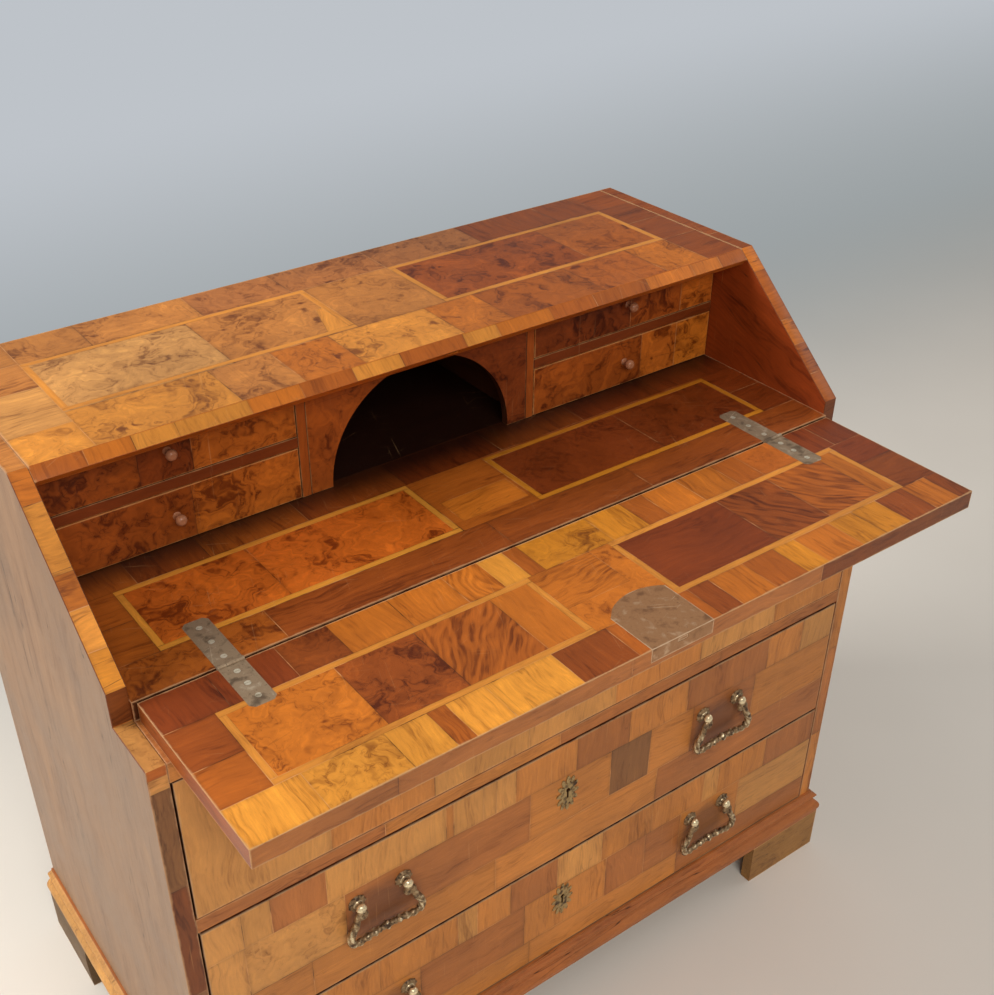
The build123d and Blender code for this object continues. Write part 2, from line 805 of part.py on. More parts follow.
# Bail, drawn about the middle of its hooks: from a hook through the ball of the right
# post, a swan neck with a scroll under the post swings out and down to a tight turn, and
# a lower bar with beads joins both halves.
post_x = post_spacing / 2
neck_x = post_x + post_ball_radius + 0.5
with BuildPart() as bail:
    with BuildLine(Plane.XZ) as neck:
        hook = TangentArc((neck_x, 0), (neck_x + bail_shoulder, -bail_shoulder), tangent=(1, 0))
        swan = TangentArc(
            hook @ 1,
            (neck_x + 0.7 * (bail_half_width - neck_x), -0.55 * bail_drop),
            tangent=hook % 1,
        )
        flank = TangentArc(swan @ 1, (bail_half_width, -0.86 * bail_drop), tangent=swan % 1)
        turn = TangentArc(flank @ 1, (bail_half_width - bail_turn, -bail_drop), tangent=flank % 1)
        bar = TangentArc(turn @ 1, (0, bail_rise - bail_drop), tangent=turn % 1)
    with BuildSketch(Plane(origin=(neck_x, 0, 0), z_dir=(1, 0, 0))):
        Circle(bail_radius)
    sweep(path=neck.line)
    with Locations(bar ^ (1 - bead_offset / (bail_half_width - bail_turn))):
        Sphere(bead_radius)
    with Locations((post_x, 0, -scroll_drop)):
        Torus(scroll_radius, scroll_wire, rotation=(90, 0, 0))
    with Locations(((post_x + neck_x - post_ball_radius) / 2, 0, 0)):
        Cylinder(bail_pin_radius, neck_x - post_x + post_ball_radius, rotation=(0, 90, 0))
    mirror(about=Plane.YZ)
    with Locations((0, 0, bail_rise - bail_drop)):
        Sphere(knop_radius, rotation=(0, 90, 0))

box_inner = front_half - drawer_wall
box_end_y = back_inner_y - drawer_back_gap
lock_y = front_inner_y - drawer_lock_thickness
lock_half = drawer_lock_width / 2
bolt_half = drawer_bolt_width / 2
bolt_y = front_inner_y - drawer_lock_thickness / 2
for name, z0, z1, inner_z0, inner_z1, opening_z0, opening_z1 in long_drawers:
    box_z0 = opening_z0 + run_clearance
    box_z1 = opening_z1 - drawer_headroom
    bottom_z0 = box_z0 + drawer_bottom_rise
    bottom_z1 = bottom_z0 + drawer_bottom_thickness
    key_z = z1 - keyhole_drop
    lock_z0 = z1 - drawer_lock_height
    handle_z = z1 - handle_drop
    front_face = Plane(origin=(keyhole_offset, front_y, key_z), x_dir=(1, 0, 0), z_dir=(0, -1, 0))
    posts = [
        (handle_x + post_side * post_x, front_y, handle_z)
        for handle_x in (-handle_offset, handle_offset)
        for post_side in (-1, 1)
    ]

    # Front, with sockets for the dovetails, a groove for the bottom and room for the lock.
    with BuildPart() as drawer_front:
        board(-front_half, front_half, front_y, front_y + lip_thickness, z0, z1)
        board(-front_half, front_half, front_y + lip_thickness, front_inner_y, inner_z0, inner_z1)
        for side in (-1, 1):
            with BuildSketch(Plane.YZ.offset(side * front_half)):
                tails(
                    front_inner_y - tail_length, front_inner_y, box_z0, box_z1,
                    tail_count, tail_width, tail_flare, glue_line,
                )
            extrude(amount=-side * (drawer_wall + glue_line), mode=Mode.SUBTRACT)
        board(
            -box_inner - drawer_groove, box_inner + drawer_groove,
            front_inner_y - drawer_groove, front_inner_y,
            bottom_z0 - glue_line, bottom_z1 + glue_line,
            Mode.SUBTRACT,
        )
        board(
            keyhole_offset - lock_half, keyhole_offset + lock_half,
            lock_y, front_inner_y, lock_z0, inner_z1,
            Mode.SUBTRACT,
        )
        with BuildSketch(front_face):
            keyhole(Mode.ADD)
        extrude(amount=-front_thickness, mode=Mode.SUBTRACT)
        with Locations(*posts):
            Cylinder(
                tang_radius + tang_play,
                3 * front_thickness,
                rotation=(90, 0, 0),
                mode=Mode.SUBTRACT,
            )
    finish(drawer_front.part, f"drawer_{name}_front")

    # Back, cut out for the through dovetails of the sides; the bottom runs under it.
    with BuildPart() as drawer_back:
        board(
            -front_half, front_half,
            box_end_y - drawer_wall + glue_line, box_end_y,
            bottom_z1 + glue_line, box_z1,
        )
        for side in (-1, 1):
            with BuildSketch(Plane.YZ.offset(side * front_half)):
                tails(
                    box_end_y, box_end_y - drawer_wall, bottom_z1 + glue_line, box_z1,
                    tail_count, tail_width, tail_flare, glue_line,
                )
            extrude(amount=-side * (drawer_wall + glue_line), mode=Mode.SUBTRACT)

    # Two sides with their dovetails at both ends, the back, and the bottom held in grooves.
    with BuildPart() as drawer_box:
        for side in (-1, 1):
            wall_x = sorted((side * front_half, side * box_inner))
            board(*wall_x, front_inner_y, box_end_y - drawer_wall, box_z0, box_z1)
            board(*wall_x, front_inner_y, box_end_y, box_z0, bottom_z1)
            with BuildSketch(Plane.YZ.offset(side * front_half)):
                tails(
                    front_inner_y - tail_length, front_inner_y, box_z0, box_z1,
                    tail_count, tail_width, tail_flare,
                )
                tails(
                    box_end_y, box_end_y - drawer_wall, bottom_z1 + glue_line, box_z1,
                    tail_count, tail_width, tail_flare,
                )
            extrude(amount=-side * drawer_wall)
            groove_x = sorted((side * box_inner, side * (box_inner + drawer_groove)))
            board(
                *groove_x,
                front_inner_y - tail_length, box_end_y,
                bottom_z0 - glue_line, bottom_z1 + glue_line,
                Mode.SUBTRACT,
            )
        bottom_half = box_inner + drawer_groove - glue_line
        board(
            -bottom_half, bottom_half,
            front_inner_y - drawer_groove + glue_line, box_end_y,
            bottom_z0, bottom_z1,
        )
        add(drawer_back.part)
    finish(drawer_box.part, f"drawer_{name}_box")

    # Lock let into the back of the front: a tray with a slot in its upper edge for the
    # bolt, two guides beside the bolt and a pin for the key.
    with BuildPart() as drawer_lock:
        board(
            keyhole_offset - lock_half, keyhole_offset + lock_half,
            lock_y, front_inner_y, lock_z0, inner_z1,
        )
        board(
            keyhole_offset - lock_half + drawer_lock_wall, keyhole_offset + lock_half - drawer_lock_wall,
            lock_y, front_inner_y - drawer_lock_wall,
            lock_z0 + drawer_lock_wall, inner_z1 - drawer_lock_wall,
            Mode.SUBTRACT,
        )
        for side in (-1, 1):
            guide_x = sorted(
                keyhole_offset + side * (bolt_half + bolt_play + depth) for depth in (0, drawer_lock_wall)
            )
            board(
                *guide_x,
                lock_y, front_inner_y, inner_z1 - drawer_bolt_length, inner_z1 - drawer_lock_wall,
            )
        board(
            keyhole_offset - bolt_half - bolt_play, keyhole_offset + bolt_half + bolt_play,
            bolt_y - drawer_bolt_thickness / 2 - bolt_play, bolt_y + drawer_bolt_thickness / 2 + bolt_play,
            inner_z1 - drawer_lock_wall, inner_z1,
            Mode.SUBTRACT,
        )
        with Locations((keyhole_offset, (front_y + front_inner_y) / 2 + reveal, key_z)):
            Cylinder(key_pin_radius, front_thickness - 2 * reveal, rotation=(90, 0, 0))
    finish(drawer_lock.part, f"drawer_{name}_lock")

    with BuildPart() as drawer_bolt:
        board(
            keyhole_offset - bolt_half, keyhole_offset + bolt_half,
            bolt_y - drawer_bolt_thickness / 2, bolt_y + drawer_bolt_thickness / 2,
            inner_z1 - drawer_bolt_length, inner_z1,
        )
    finish(drawer_bolt.part, f"drawer_{name}_bolt")

    with BuildPart() as drawer_escutcheon:
        with BuildSketch(front_face):
            escutcheon()
        extrude(amount=escutcheon_thickness)
    finish(drawer_escutcheon.part, f"drawer_{name}_escutcheon")

    with BuildPart() as handle_posts:
        with Locations(*posts):
            add(post.part)
            add(nut.part)
    finish(handle_posts.part, f"drawer_{name}_handle_posts")

    for side, side_name in ((-1, "left"), (1, "right")):
        with BuildPart() as hung_bail:
            with Locations((side * handle_offset, front_y - post_reach, handle_z)):
                add(bail.part)
        finish(hung_bail.part, f"drawer_{name}_bail_{side_name}")

# Turned knob of a small drawer, with its tenon, drawn with its foot on the origin.
with BuildPart() as knob:
    with BuildSketch():
        with BuildLine():
            Polyline(
                (0, -knob_length),
                (0, small_front_thickness - 1),
                (knob_tenon_radius, small_front_thickness - 1),
                (knob_tenon_radius, 0),
                (0.75 * knob_radius, 0),
            )
            ThreePointArc(
                (0.75 * knob_radius, 0),
                (knob_neck_radius, -0.2 * knob_length),
                (0.62 * knob_radius, -0.4 * knob_length),
            )
            ThreePointArc(
                (0.62 * knob_radius, -0.4 * knob_length),
                (knob_radius, -0.7 * knob_length),
                (0.45 * knob_radius, -knob_length),
            )
            Line((0.45 * knob_radius, -knob_length), (0, -knob_length))
        make_face()
    revolve(axis=Axis.Y)

# Small drawers, two on each side of the pigeonhole.
small_inner_y = nest_y + small_front_thickness
small_end_y = back_inner_y - drawer_headroom
small_openings = (
    ("lower", writing_height, divider_z),
    ("upper", divider_z + divider_thickness, top_under_z),
)
for side, side_name in ((-1, "left"), (1, "right")):
    x0, x1 = sorted((side * (nest_half_width + small_gap), side * (inner_half - small_gap)))
    for level, opening_z0, opening_z1 in small_openings:
        name = f"small_drawer_{side_name}_{level}"
        z0 = opening_z0 + small_gap
        z1 = opening_z1 - small_gap
        box_z0 = opening_z0 + run_clearance
        box_z1 = z1 - 2 * small_gap
        bottom_z0 = box_z0 + small_bottom_rise
        bottom_z1 = bottom_z0 + small_bottom_thickness
        knob_place = ((x0 + x1) / 2, nest_y, (z0 + z1) / 2)
        walls = ((x0, x0 + small_wall, 1), (x1 - small_wall, x1, -1))

        with BuildPart() as small_front:
            board(x0, x1, nest_y, small_inner_y, z0, z1)
            for wall_x0, wall_x1, inward in walls:
                outer_x = x0 if inward > 0 else x1
                with BuildSketch(Plane.YZ.offset(outer_x)):
                    tails(
                        small_inner_y - small_tail_length, small_inner_y, box_z0, box_z1,
                        small_tail_count, small_tail_width, small_tail_flare, glue_line,
                    )
                extrude(amount=inward * (small_wall + glue_line), mode=Mode.SUBTRACT)
            board(
                x0 + small_wall - small_groove, x1 - small_wall + small_groove,
                small_inner_y - small_groove, small_inner_y,
                bottom_z0 - glue_line, bottom_z1 + glue_line,
                Mode.SUBTRACT,
            )
            with Locations(knob_place):
                Cylinder(
                    knob_tenon_radius + knob_play,
                    3 * small_front_thickness,
                    rotation=(90, 0, 0),
                    mode=Mode.SUBTRACT,
                )
        finish(small_front.part, f"{name}_front")

        with BuildPart() as small_box:
            for wall_x0, wall_x1, inward in walls:
                outer_x = x0 if inward > 0 else x1
                board(wall_x0, wall_x1, small_inner_y, small_end_y, box_z0, box_z1)
                with BuildSketch(Plane.YZ.offset(outer_x)):
                    tails(
                        small_inner_y - small_tail_length, small_inner_y, box_z0, box_z1,
                        small_tail_count, small_tail_width, small_tail_flare,
                    )
                extrude(amount=inward * small_wall)
                inner_x = outer_x + inward * small_wall
                groove_x = sorted((inner_x, inner_x - inward * small_groove))
                board(
                    *groove_x,
                    small_inner_y - small_tail_length, small_end_y,
                    bottom_z0 - glue_line, bottom_z1 + glue_line,
                    Mode.SUBTRACT,
                )
            bottom_edge = small_wall - small_groove + glue_line
            board(
                x0 + bottom_edge, x1 - bottom_edge,
                small_inner_y - small_groove + glue_line, small_end_y,
                bottom_z0, bottom_z1,
            )
            board(
                x0 + small_wall + glue_line, x1 - small_wall - glue_line,
                small_end_y - small_wall, small_end_y,
                bottom_z1 + glue_line, box_z1,
            )
        finish(small_box.part, f"{name}_box")

        with BuildPart() as small_knob:
            with Locations(knob_place):
                add(knob.part)
        finish(small_knob.part, f"{name}_knob")
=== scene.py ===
import math
import random

import bmesh
import bpy
from mathutils import Matrix, Vector


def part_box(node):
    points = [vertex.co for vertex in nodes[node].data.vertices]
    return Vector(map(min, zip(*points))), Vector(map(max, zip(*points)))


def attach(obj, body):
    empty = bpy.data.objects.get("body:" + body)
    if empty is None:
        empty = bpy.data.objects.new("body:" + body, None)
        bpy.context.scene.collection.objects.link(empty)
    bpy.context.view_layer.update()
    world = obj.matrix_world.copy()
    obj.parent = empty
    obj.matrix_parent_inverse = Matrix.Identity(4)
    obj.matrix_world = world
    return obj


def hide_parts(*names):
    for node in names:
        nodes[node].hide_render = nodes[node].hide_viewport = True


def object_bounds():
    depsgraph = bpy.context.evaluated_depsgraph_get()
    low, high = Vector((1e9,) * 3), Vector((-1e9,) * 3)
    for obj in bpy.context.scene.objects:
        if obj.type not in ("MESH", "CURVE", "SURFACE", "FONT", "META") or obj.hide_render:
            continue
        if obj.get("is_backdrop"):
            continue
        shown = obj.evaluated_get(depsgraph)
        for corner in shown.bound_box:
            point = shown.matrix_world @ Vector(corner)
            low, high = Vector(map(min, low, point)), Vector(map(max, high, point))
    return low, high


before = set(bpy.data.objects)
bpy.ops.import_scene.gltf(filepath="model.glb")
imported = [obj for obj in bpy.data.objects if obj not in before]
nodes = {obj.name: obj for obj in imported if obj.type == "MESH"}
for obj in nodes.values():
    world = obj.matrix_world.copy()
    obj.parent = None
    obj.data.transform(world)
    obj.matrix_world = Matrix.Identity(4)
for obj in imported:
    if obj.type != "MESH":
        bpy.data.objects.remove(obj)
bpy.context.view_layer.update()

# ---------------------------------------------------------------- standpoint, floor and light
# Someone of middle height stands at the left front corner and looks down into the open desk.
# A pale floor, an even sky and three soft lamps: a large one on the left and two fills.
standpoint = (-0.7964, -1.1101, 1.6284)
look_down = 34.002
look_right = 36.026
lens_length = 46.47
frame_shift = (0.0171, 0.0454)

camera = bpy.data.objects.new("camera", bpy.data.cameras.new("camera"))
bpy.context.scene.collection.objects.link(camera)
camera.location = standpoint
camera.rotation_euler = (math.radians(90 - look_down), 0, math.radians(-look_right))
camera.data.sensor_width = 36
camera.data.lens = lens_length
camera.data.shift_x, camera.data.shift_y = frame_shift
camera.data.clip_start = 0.05
camera.data.clip_end = 200
bpy.context.scene.camera = camera
bpy.context.scene.view_settings.view_transform = "Standard"


def lamp(name, place, aim, size, power, colour):
    """A soft square lamp that faces a point."""
    light = bpy.data.lights.new(name, "AREA")
    light.shape = "RECTANGLE"
    light.size, light.size_y = size
    light.energy = power
    light.color = colour
    holder = bpy.data.objects.new(name, light)
    bpy.context.scene.collection.objects.link(holder)
    holder.location = place
    holder.rotation_euler = (Vector(aim) - Vector(place)).to_track_quat("-Z", "Y").to_euler()


lamp("window_lamp", (-2.7, 1.5, 2.6), (0, 0, 0.6), (2.0, 1.6), 112, (1.0, 0.99, 0.97))
lamp("room_lamp", (-0.9, -2.8, 2.9), (0, -0.1, 0.5), (2.2, 1.3), 66, (1.0, 0.97, 0.93))
lamp("side_lamp", (2.6, -0.5, 2.2), (0, 0.1, 0.6), (1.6, 1.0), 10, (0.97, 0.98, 1.0))


def part_of(tree, kind, inputs=None, **settings):
    """Adds one shader or geometry node, sets its options and fills or links its inputs."""
    made = tree.nodes.new(kind)
    for key, value in settings.items():
        setattr(made, key, value)
    for key, value in (inputs or {}).items():
        if isinstance(value, bpy.types.NodeSocket):
            tree.links.new(value, made.inputs[key])
        else:
            made.inputs[key].default_value = value
    return made


def colour_of(red, green, blue):
    """A finish as read off a stain card, 0 to 255, for the shaders."""
    parts = [channel / 255 for channel in (red, green, blue)]
    return tuple(p / 12.92 if p <= 0.04045 else ((p + 0.055) / 1.055) ** 2.4 for p in parts) + (1.0,)


sky = bpy.data.worlds.new("even_sky")
bpy.context.scene.world = sky
sky.use_nodes = True
sky.node_tree.nodes.clear()
seen = part_of(sky.node_tree, "ShaderNodeLightPath").outputs["Is Camera Ray"]
sky_light = part_of(
    sky.node_tree, "ShaderNodeBackground", {"Color": (0.97, 0.98, 1.0, 1), "Strength": 0.32}
).outputs[0]
sky_backdrop = part_of(
    sky.node_tree, "ShaderNodeBackground", {"Color": colour_of(222, 224, 224), "Strength": 1.0}
).outputs[0]
sky_mix = part_of(sky.node_tree, "ShaderNodeMixShader", {0: seen, 1: sky_light, 2: sky_backdrop})
part_of(sky.node_tree, "ShaderNodeOutputWorld", {"Surface": sky_mix.outputs[0]})

floor_mesh = bpy.data.meshes.new("floor")
floor_reach = 14.0
floor_corners = [(x * floor_reach, y * floor_reach, 0) for x, y in ((-1, -1), (1, -1), (1, 1), (-1, 1))]
floor_mesh.from_pydata(floor_corners, [], [(0, 1, 2, 3)])
floor = bpy.data.objects.new("floor", floor_mesh)
bpy.context.scene.collection.objects.link(floor)
floor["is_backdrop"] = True


def finish_of(name):
    """A new material: its node tree, emptied but for the shader and the output."""
    material = bpy.data.materials.new(name)
    material.use_nodes = True
    tree = material.node_tree
    tree.nodes.clear()
    shader = tree.nodes.new("ShaderNodeBsdfPrincipled")
    output = tree.nodes.new("ShaderNodeOutputMaterial")
    tree.links.new(shader.outputs[0], output.inputs["Surface"])
    return material, tree, shader


def sums(tree, operation, a, b=0.0, c=0.0):
    """One arithmetic step in a shader."""
    return part_of(tree, "ShaderNodeMath", {0: a, 1: b, 2: c}, operation=operation).outputs[0]


def ramp(tree, value, start, end, low=0.0, high=1.0):
    """Smooth change from low to high while the value goes from start to end."""
    return part_of(
        tree,
        "ShaderNodeMapRange",
        {"Value": value, "From Min": start, "From Max": end, "To Min": low, "To Max": high},
        interpolation_type="SMOOTHSTEP",
    ).outputs["Result"]


def mottle(tree, vector, scale, detail=4.0, roughness=0.55, distortion=0.0):
    """Soft irregular noise, 0 to 1."""
    settings = {"Scale": scale, "Detail": detail, "Roughness": roughness, "Distortion": distortion}
    return part_of(tree, "ShaderNodeTexNoise", {"Vector": vector, **settings}).outputs["Fac"]


def blended(tree, factor, a, b, way="MIX"):
    """Two colours laid over each other."""
    return part_of(
        tree, "ShaderNodeMix", {0: factor, 6: a, 7: b}, data_type="RGBA", blend_type=way
    ).outputs[2]


# Behind the desk the screed gives way to a glowing backdrop, for the eye and for reflections only; it is
# painted darker near the desk and paler further back, as shade on a wall.
floor_finish, tree, shader = finish_of("floor_screed")
where = part_of(tree, "ShaderNodeTexCoord").outputs["Object"]
behind = part_of(tree, "ShaderNodeSeparateXYZ", {0: where}).outputs[1]
clouds = mottle(tree, where, 1.3, 5.0, 0.5)
screed = blended(tree, clouds, colour_of(222, 213, 200), colour_of(238, 230, 218))
tree.links.new(screed, shader.inputs["Base Color"])
shader.inputs["Roughness"].default_value = 0.62
distance = ramp(tree, behind, 1.0, 4.5)
backdrop_tint = blended(tree, distance, colour_of(150, 156, 157), colour_of(190, 195, 201))
backdrop = part_of(tree, "ShaderNodeEmission", {"Color": backdrop_tint, "Strength": 1.0}).outputs[0]
ray = part_of(tree, "ShaderNodeLightPath").outputs
looked_at = sums(tree, "MAXIMUM", ray["Is Camera Ray"], ray["Is Glossy Ray"])
even = sums(tree, "MULTIPLY", looked_at, ramp(tree, behind, 0.5, 1.9))
floor_mix = part_of(tree, "ShaderNodeMixShader", {0: even, 1: shader.outputs[0], 2: backdrop})
floor_output = [made for made in tree.nodes if made.type == "OUTPUT_MATERIAL"][0]
tree.links.new(floor_mix.outputs[0], floor_output.inputs["Surface"])
floor_mesh.materials.append(floor_finish)

# ---------------------------------------------------------------- walnut
# All the show surfaces are sawn walnut veneer, 2 to 3 mm thick, laid in blocks on softwood and
# finished with shellac and wax. The figure, the joints, the rubbed edges and the scratched
# polish are effects of their own, which every walnut finish below draws on.
stains = {
    "honey": (232, 152, 54),
    "amber": (222, 142, 54),
    "yellow": (212, 132, 34),
    "orange": (198, 110, 32),
    "tawny": (176, 92, 28),
    "chestnut": (148, 72, 24),
    "russet": (132, 58, 20),
    "umber": (124, 64, 26),
    "dark": (78, 38, 18),
    "tan": (206, 142, 74),
    "clay": (194, 122, 56),
    "mauve": (172, 104, 52),
    "slate": (140, 92, 52),
    "olive": (196, 138, 76),
    "bole": (122, 54, 18),
    "rust": (150, 72, 22),
    "wine": (150, 62, 20),
    "copper": (206, 102, 30),
    "ash": (152, 118, 90),
}


def effect(name, inputs, outputs):
    """A shader node group with named inputs (a number, a vector or a colour) and outputs."""
    tree = bpy.data.node_groups.new(name, "ShaderNodeTree")
    kinds = {"number": "NodeSocketFloat", "vector": "NodeSocketVector", "colour": "NodeSocketColor"}
    for label, kind, value in inputs:
        socket = tree.interface.new_socket(label, in_out="INPUT", socket_type=kinds[kind])
        if value is not None:
            socket.default_value = value
    for label, kind in outputs:
        tree.interface.new_socket(label, in_out="OUTPUT", socket_type=kinds[kind])
    entry = tree.nodes.new("NodeGroupInput")
    result = tree.nodes.new("NodeGroupOutput")
    return tree, entry.outputs, result.inputs


def stretched(tree, vector, factors):
    """A pattern's place, stretched along its axes."""
    return part_of(tree, "ShaderNodeVectorMath", {0: vector, 1: factors}, operation="MULTIPLY").outputs[0]


# Figure of the wood. Place is in metres with x along the grain; Burl and Stripe say how much the
# straight grain gives way to swirls round knots, or to bold crossing bands.
tree, given, made = effect(
    "walnut_figure",
    [
        ("Place", "vector", None),
        ("Stain", "colour", (0.3, 0.12, 0.05, 1)),
        ("Burl", "number", 0.0),
        ("Stripe", "number", 0.0),
        ("Contrast", "number", 1.0),
    ],
    [("Color", "colour"), ("Height", "number")],
)
place = stretched(tree, given["Place"], (100, 100, 100))
drift = part_of(tree, "ShaderNodeTexNoise", {"Vector": place, "Scale": 0.10, "Detail": 2.0})
drifted = part_of(
    tree,
    "ShaderNodeVectorMath",
    {0: drift.outputs["Color"], 1: (0.8, 3.4, 3.4), 2: place},
    operation="MULTIPLY_ADD",
).outputs[0]
broad = mottle(tree, stretched(tree, drifted, (0.055, 0.40, 0.40)), 1.0, 3.0, 0.55)
streaks = mottle(tree, stretched(tree, drifted, (0.08, 2.8, 2.8)), 1.0, 4.0, 0.55)
fibres = mottle(tree, stretched(tree, place, (0.9, 22, 22)), 1.0, 3.0, 0.6)
pores = ramp(tree, mottle(tree, stretched(tree, place, (3.4, 52, 52)), 1.0, 2.0, 0.5), 0.60, 0.70)
rings = sums(tree, "MULTIPLY_ADD", sums(tree, "SINE", sums(tree, "MULTIPLY", broad, 60.0)), 0.5, 0.5)
curl = part_of(
    tree, "ShaderNodeTexNoise", {"Vector": place, "Scale": 0.17, "Detail": 3.0, "Roughness": 0.55}
)
curled = part_of(
    tree,
    "ShaderNodeVectorMath",
    {0: curl.outputs["Color"], 1: (9.0, 9.0, 9.0), 2: place},
    operation="MULTIPLY_ADD",
).outputs[0]
swell = mottle(tree, curled, 0.15, 2.0, 0.5)
clouds = mottle(tree, curled, 0.34, 6.0, 0.58, 0.5)
swirl = sums(tree, "MULTIPLY_ADD", sums(tree, "SINE", sums(tree, "MULTIPLY", swell, 70.0)), 0.5, 0.5)
vein = ramp(tree, mottle(tree, curled, 0.42, 4.0, 0.55), 0.0, 1.0)
vein = ramp(tree, sums(tree, "ABSOLUTE", sums(tree, "SUBTRACT", vein, 0.5)), 0.035, 0.0)
knots = part_of(
    tree, "ShaderNodeTexVoronoi", {"Vector": curled, "Scale": 0.22, "Randomness": 1.0}
).outputs["Distance"]
knot_dark = ramp(tree, knots, 0.20, 0.03)
lie = mottle(tree, stretched(tree, drifted, (0.05, 0.17, 0.17)), 1.0, 2.0, 0.5)
bands = sums(tree, "MULTIPLY_ADD", sums(tree, "SINE", sums(tree, "MULTIPLY", lie, 84.0)), 0.5, 0.5)
bands = ramp(tree, bands, 0.1, 0.95)
plain_figure = sums(tree, "MULTIPLY_ADD", fibres, 0.18, sums(tree, "MULTIPLY", streaks, 0.30))
plain_figure = sums(tree, "MULTIPLY_ADD", broad, 0.46, plain_figure)
plain_figure = sums(tree, "MULTIPLY_ADD", rings, 0.06, plain_figure)
burl_figure = sums(tree, "MULTIPLY_ADD", clouds, 0.46, sums(tree, "MULTIPLY", swell, 0.46))
burl_figure = sums(tree, "MULTIPLY_ADD", swirl, 0.08, burl_figure)
burl_figure = sums(tree, "MULTIPLY_ADD", vein, -0.07, burl_figure)
burl_figure = sums(tree, "SUBTRACT", burl_figure, sums(tree, "MULTIPLY", knot_dark, 0.16))
stripe_figure = sums(tree, "MULTIPLY_ADD", bands, 0.13, sums(tree, "MULTIPLY", plain_figure, 0.87))
figure = part_of(
    tree, "ShaderNodeMix", {0: given["Stripe"], 2: plain_figure, 3: stripe_figure}, data_type="FLOAT"
).outputs[0]
figure = part_of(
    tree, "ShaderNodeMix", {0: given["Burl"], 2: figure, 3: burl_figure}, data_type="FLOAT"
).outputs[0]
figure = sums(tree, "MULTIPLY_ADD", sums(tree, "SUBTRACT", figure, 0.51), given["Contrast"], 0.51)
dark_wood = blended(tree, 1.0, given["Stain"], (0.34, 0.25, 0.22, 1), "MULTIPLY")
light_wood = blended(tree, 1.0, given["Stain"], (1.36, 1.40, 1.30, 1), "MULTIPLY")
wood = blended(tree, ramp(tree, figure, 0.30, 0.52), dark_wood, given["Stain"])
wood = blended(tree, ramp(tree, figure, 0.50, 0.70), wood, light_wood)
wood = blended(tree, sums(tree, "MULTIPLY", pores, 0.28), wood, dark_wood)
tree.links.new(wood, made["Color"])
tree.links.new(sums(tree, "MULTIPLY_ADD", fibres, 0.5, sums(tree, "MULTIPLY", pores, -0.6)), made["Height"])

# Joint round a block of veneer: a fine dark line that opens and closes along its length.
tree, given, made = effect(
    "laid_joint",
    [("Sides A", "vector", None), ("Sides B", "vector", None), ("Place", "vector", None)],
    [("Line", "number"), ("Soil", "number")],
)
sides_a = part_of(tree, "ShaderNodeSeparateXYZ", {0: given["Sides A"]}).outputs
sides_b = part_of(tree, "ShaderNodeSeparateXYZ", {0: given["Sides B"]}).outputs
nearest_a = sums(tree, "MINIMUM", sides_a[0], sides_a[1])
nearest_b = sums(tree, "MINIMUM", sides_b[0], sides_b[1])
nearest = sums(tree, "MINIMUM", nearest_a, nearest_b)
waver = mottle(tree, given["Place"], 90.0, 3.0)
nearest = sums(tree, "ADD", nearest, sums(tree, "MULTIPLY_ADD", waver, 0.0009, -0.00045))
opening = ramp(tree, mottle(tree, given["Place"], 34.0, 3.0), 0.36, 0.66, 0.35, 1.0)
tree.links.new(sums(tree, "MULTIPLY", ramp(tree, nearest, 0.00065, 0.00012), opening), made["Line"])
tree.links.new(sums(tree, "MULTIPLY", ramp(tree, nearest, 0.006, 0.0), 0.5), made["Soil"])

# Rubbed arrises of a square board: how near a point is to an outer edge of the given box.
tree, given, made = effect(
    "rubbed_arris",
    [
        ("Place", "vector", None),
        ("Middle", "vector", None),
        ("Half Size", "vector", None),
        ("Width", "number", 0.004),
    ],
    [("Worn", "number")],
)
apart = part_of(tree, "ShaderNodeVectorMath", {0: given["Place"], 1: given["Middle"]}, operation="SUBTRACT")
apart = part_of(tree, "ShaderNodeVectorMath", {0: apart.outputs[0]}, operation="ABSOLUTE")
apart = part_of(
    tree, "ShaderNodeVectorMath", {0: given["Half Size"], 1: apart.outputs[0]}, operation="SUBTRACT"
)
x, y, z = part_of(tree, "ShaderNodeSeparateXYZ", {0: apart.outputs[0]}).outputs
second = sums(
    tree, "MAXIMUM", sums(tree, "MINIMUM", x, y), sums(tree, "MINIMUM", sums(tree, "MAXIMUM", x, y), z)
)
ragged = mottle(tree, given["Place"], 46.0, 5.0, 0.65)
ragged = sums(tree, "MULTIPLY", sums(tree, "MULTIPLY_ADD", ragged, 2.0, -0.45), given["Width"])
tree.links.new(
    part_of(
        tree,
        "ShaderNodeMapRange",
        {"Value": second, "From Min": 0.0, "From Max": ragged, "To Min": 1.0, "To Max": 0.0},
    ).outputs["Result"],
    made["Worn"],
)

# Two hundred years of polish: clouds, short scratches that cross the grain, and specks.
tree, given, made = effect(
    "old_polish",
    [("Place", "vector", None), ("Use", "number", 0.5)],
    [("Shade", "number"), ("Scratch", "number"), ("Dull", "number"), ("Height", "number")],
)
haze = mottle(tree, given["Place"], 5.5, 5.0, 0.6)
tree.links.new(ramp(tree, haze, 0.30, 0.72, 0.86, 1.12), made["Shade"])
scratch = None
for turn, along, across in ((0.5, 14, 620), (-0.35, 18, 760), (1.9, 11, 540)):
    turned = part_of(
        tree, "ShaderNodeVectorRotate", {"Vector": given["Place"], "Angle": turn}, rotation_type="Z_AXIS"
    ).outputs[0]
    line = ramp(tree, mottle(tree, stretched(tree, turned, (along, across, 9)), 1.0, 2.0), 0.685, 0.73)
    scratch = line if scratch is None else sums(tree, "MAXIMUM", scratch, line)
where_worn = ramp(tree, mottle(tree, given["Place"], 9.0, 3.0), 0.44, 0.64)
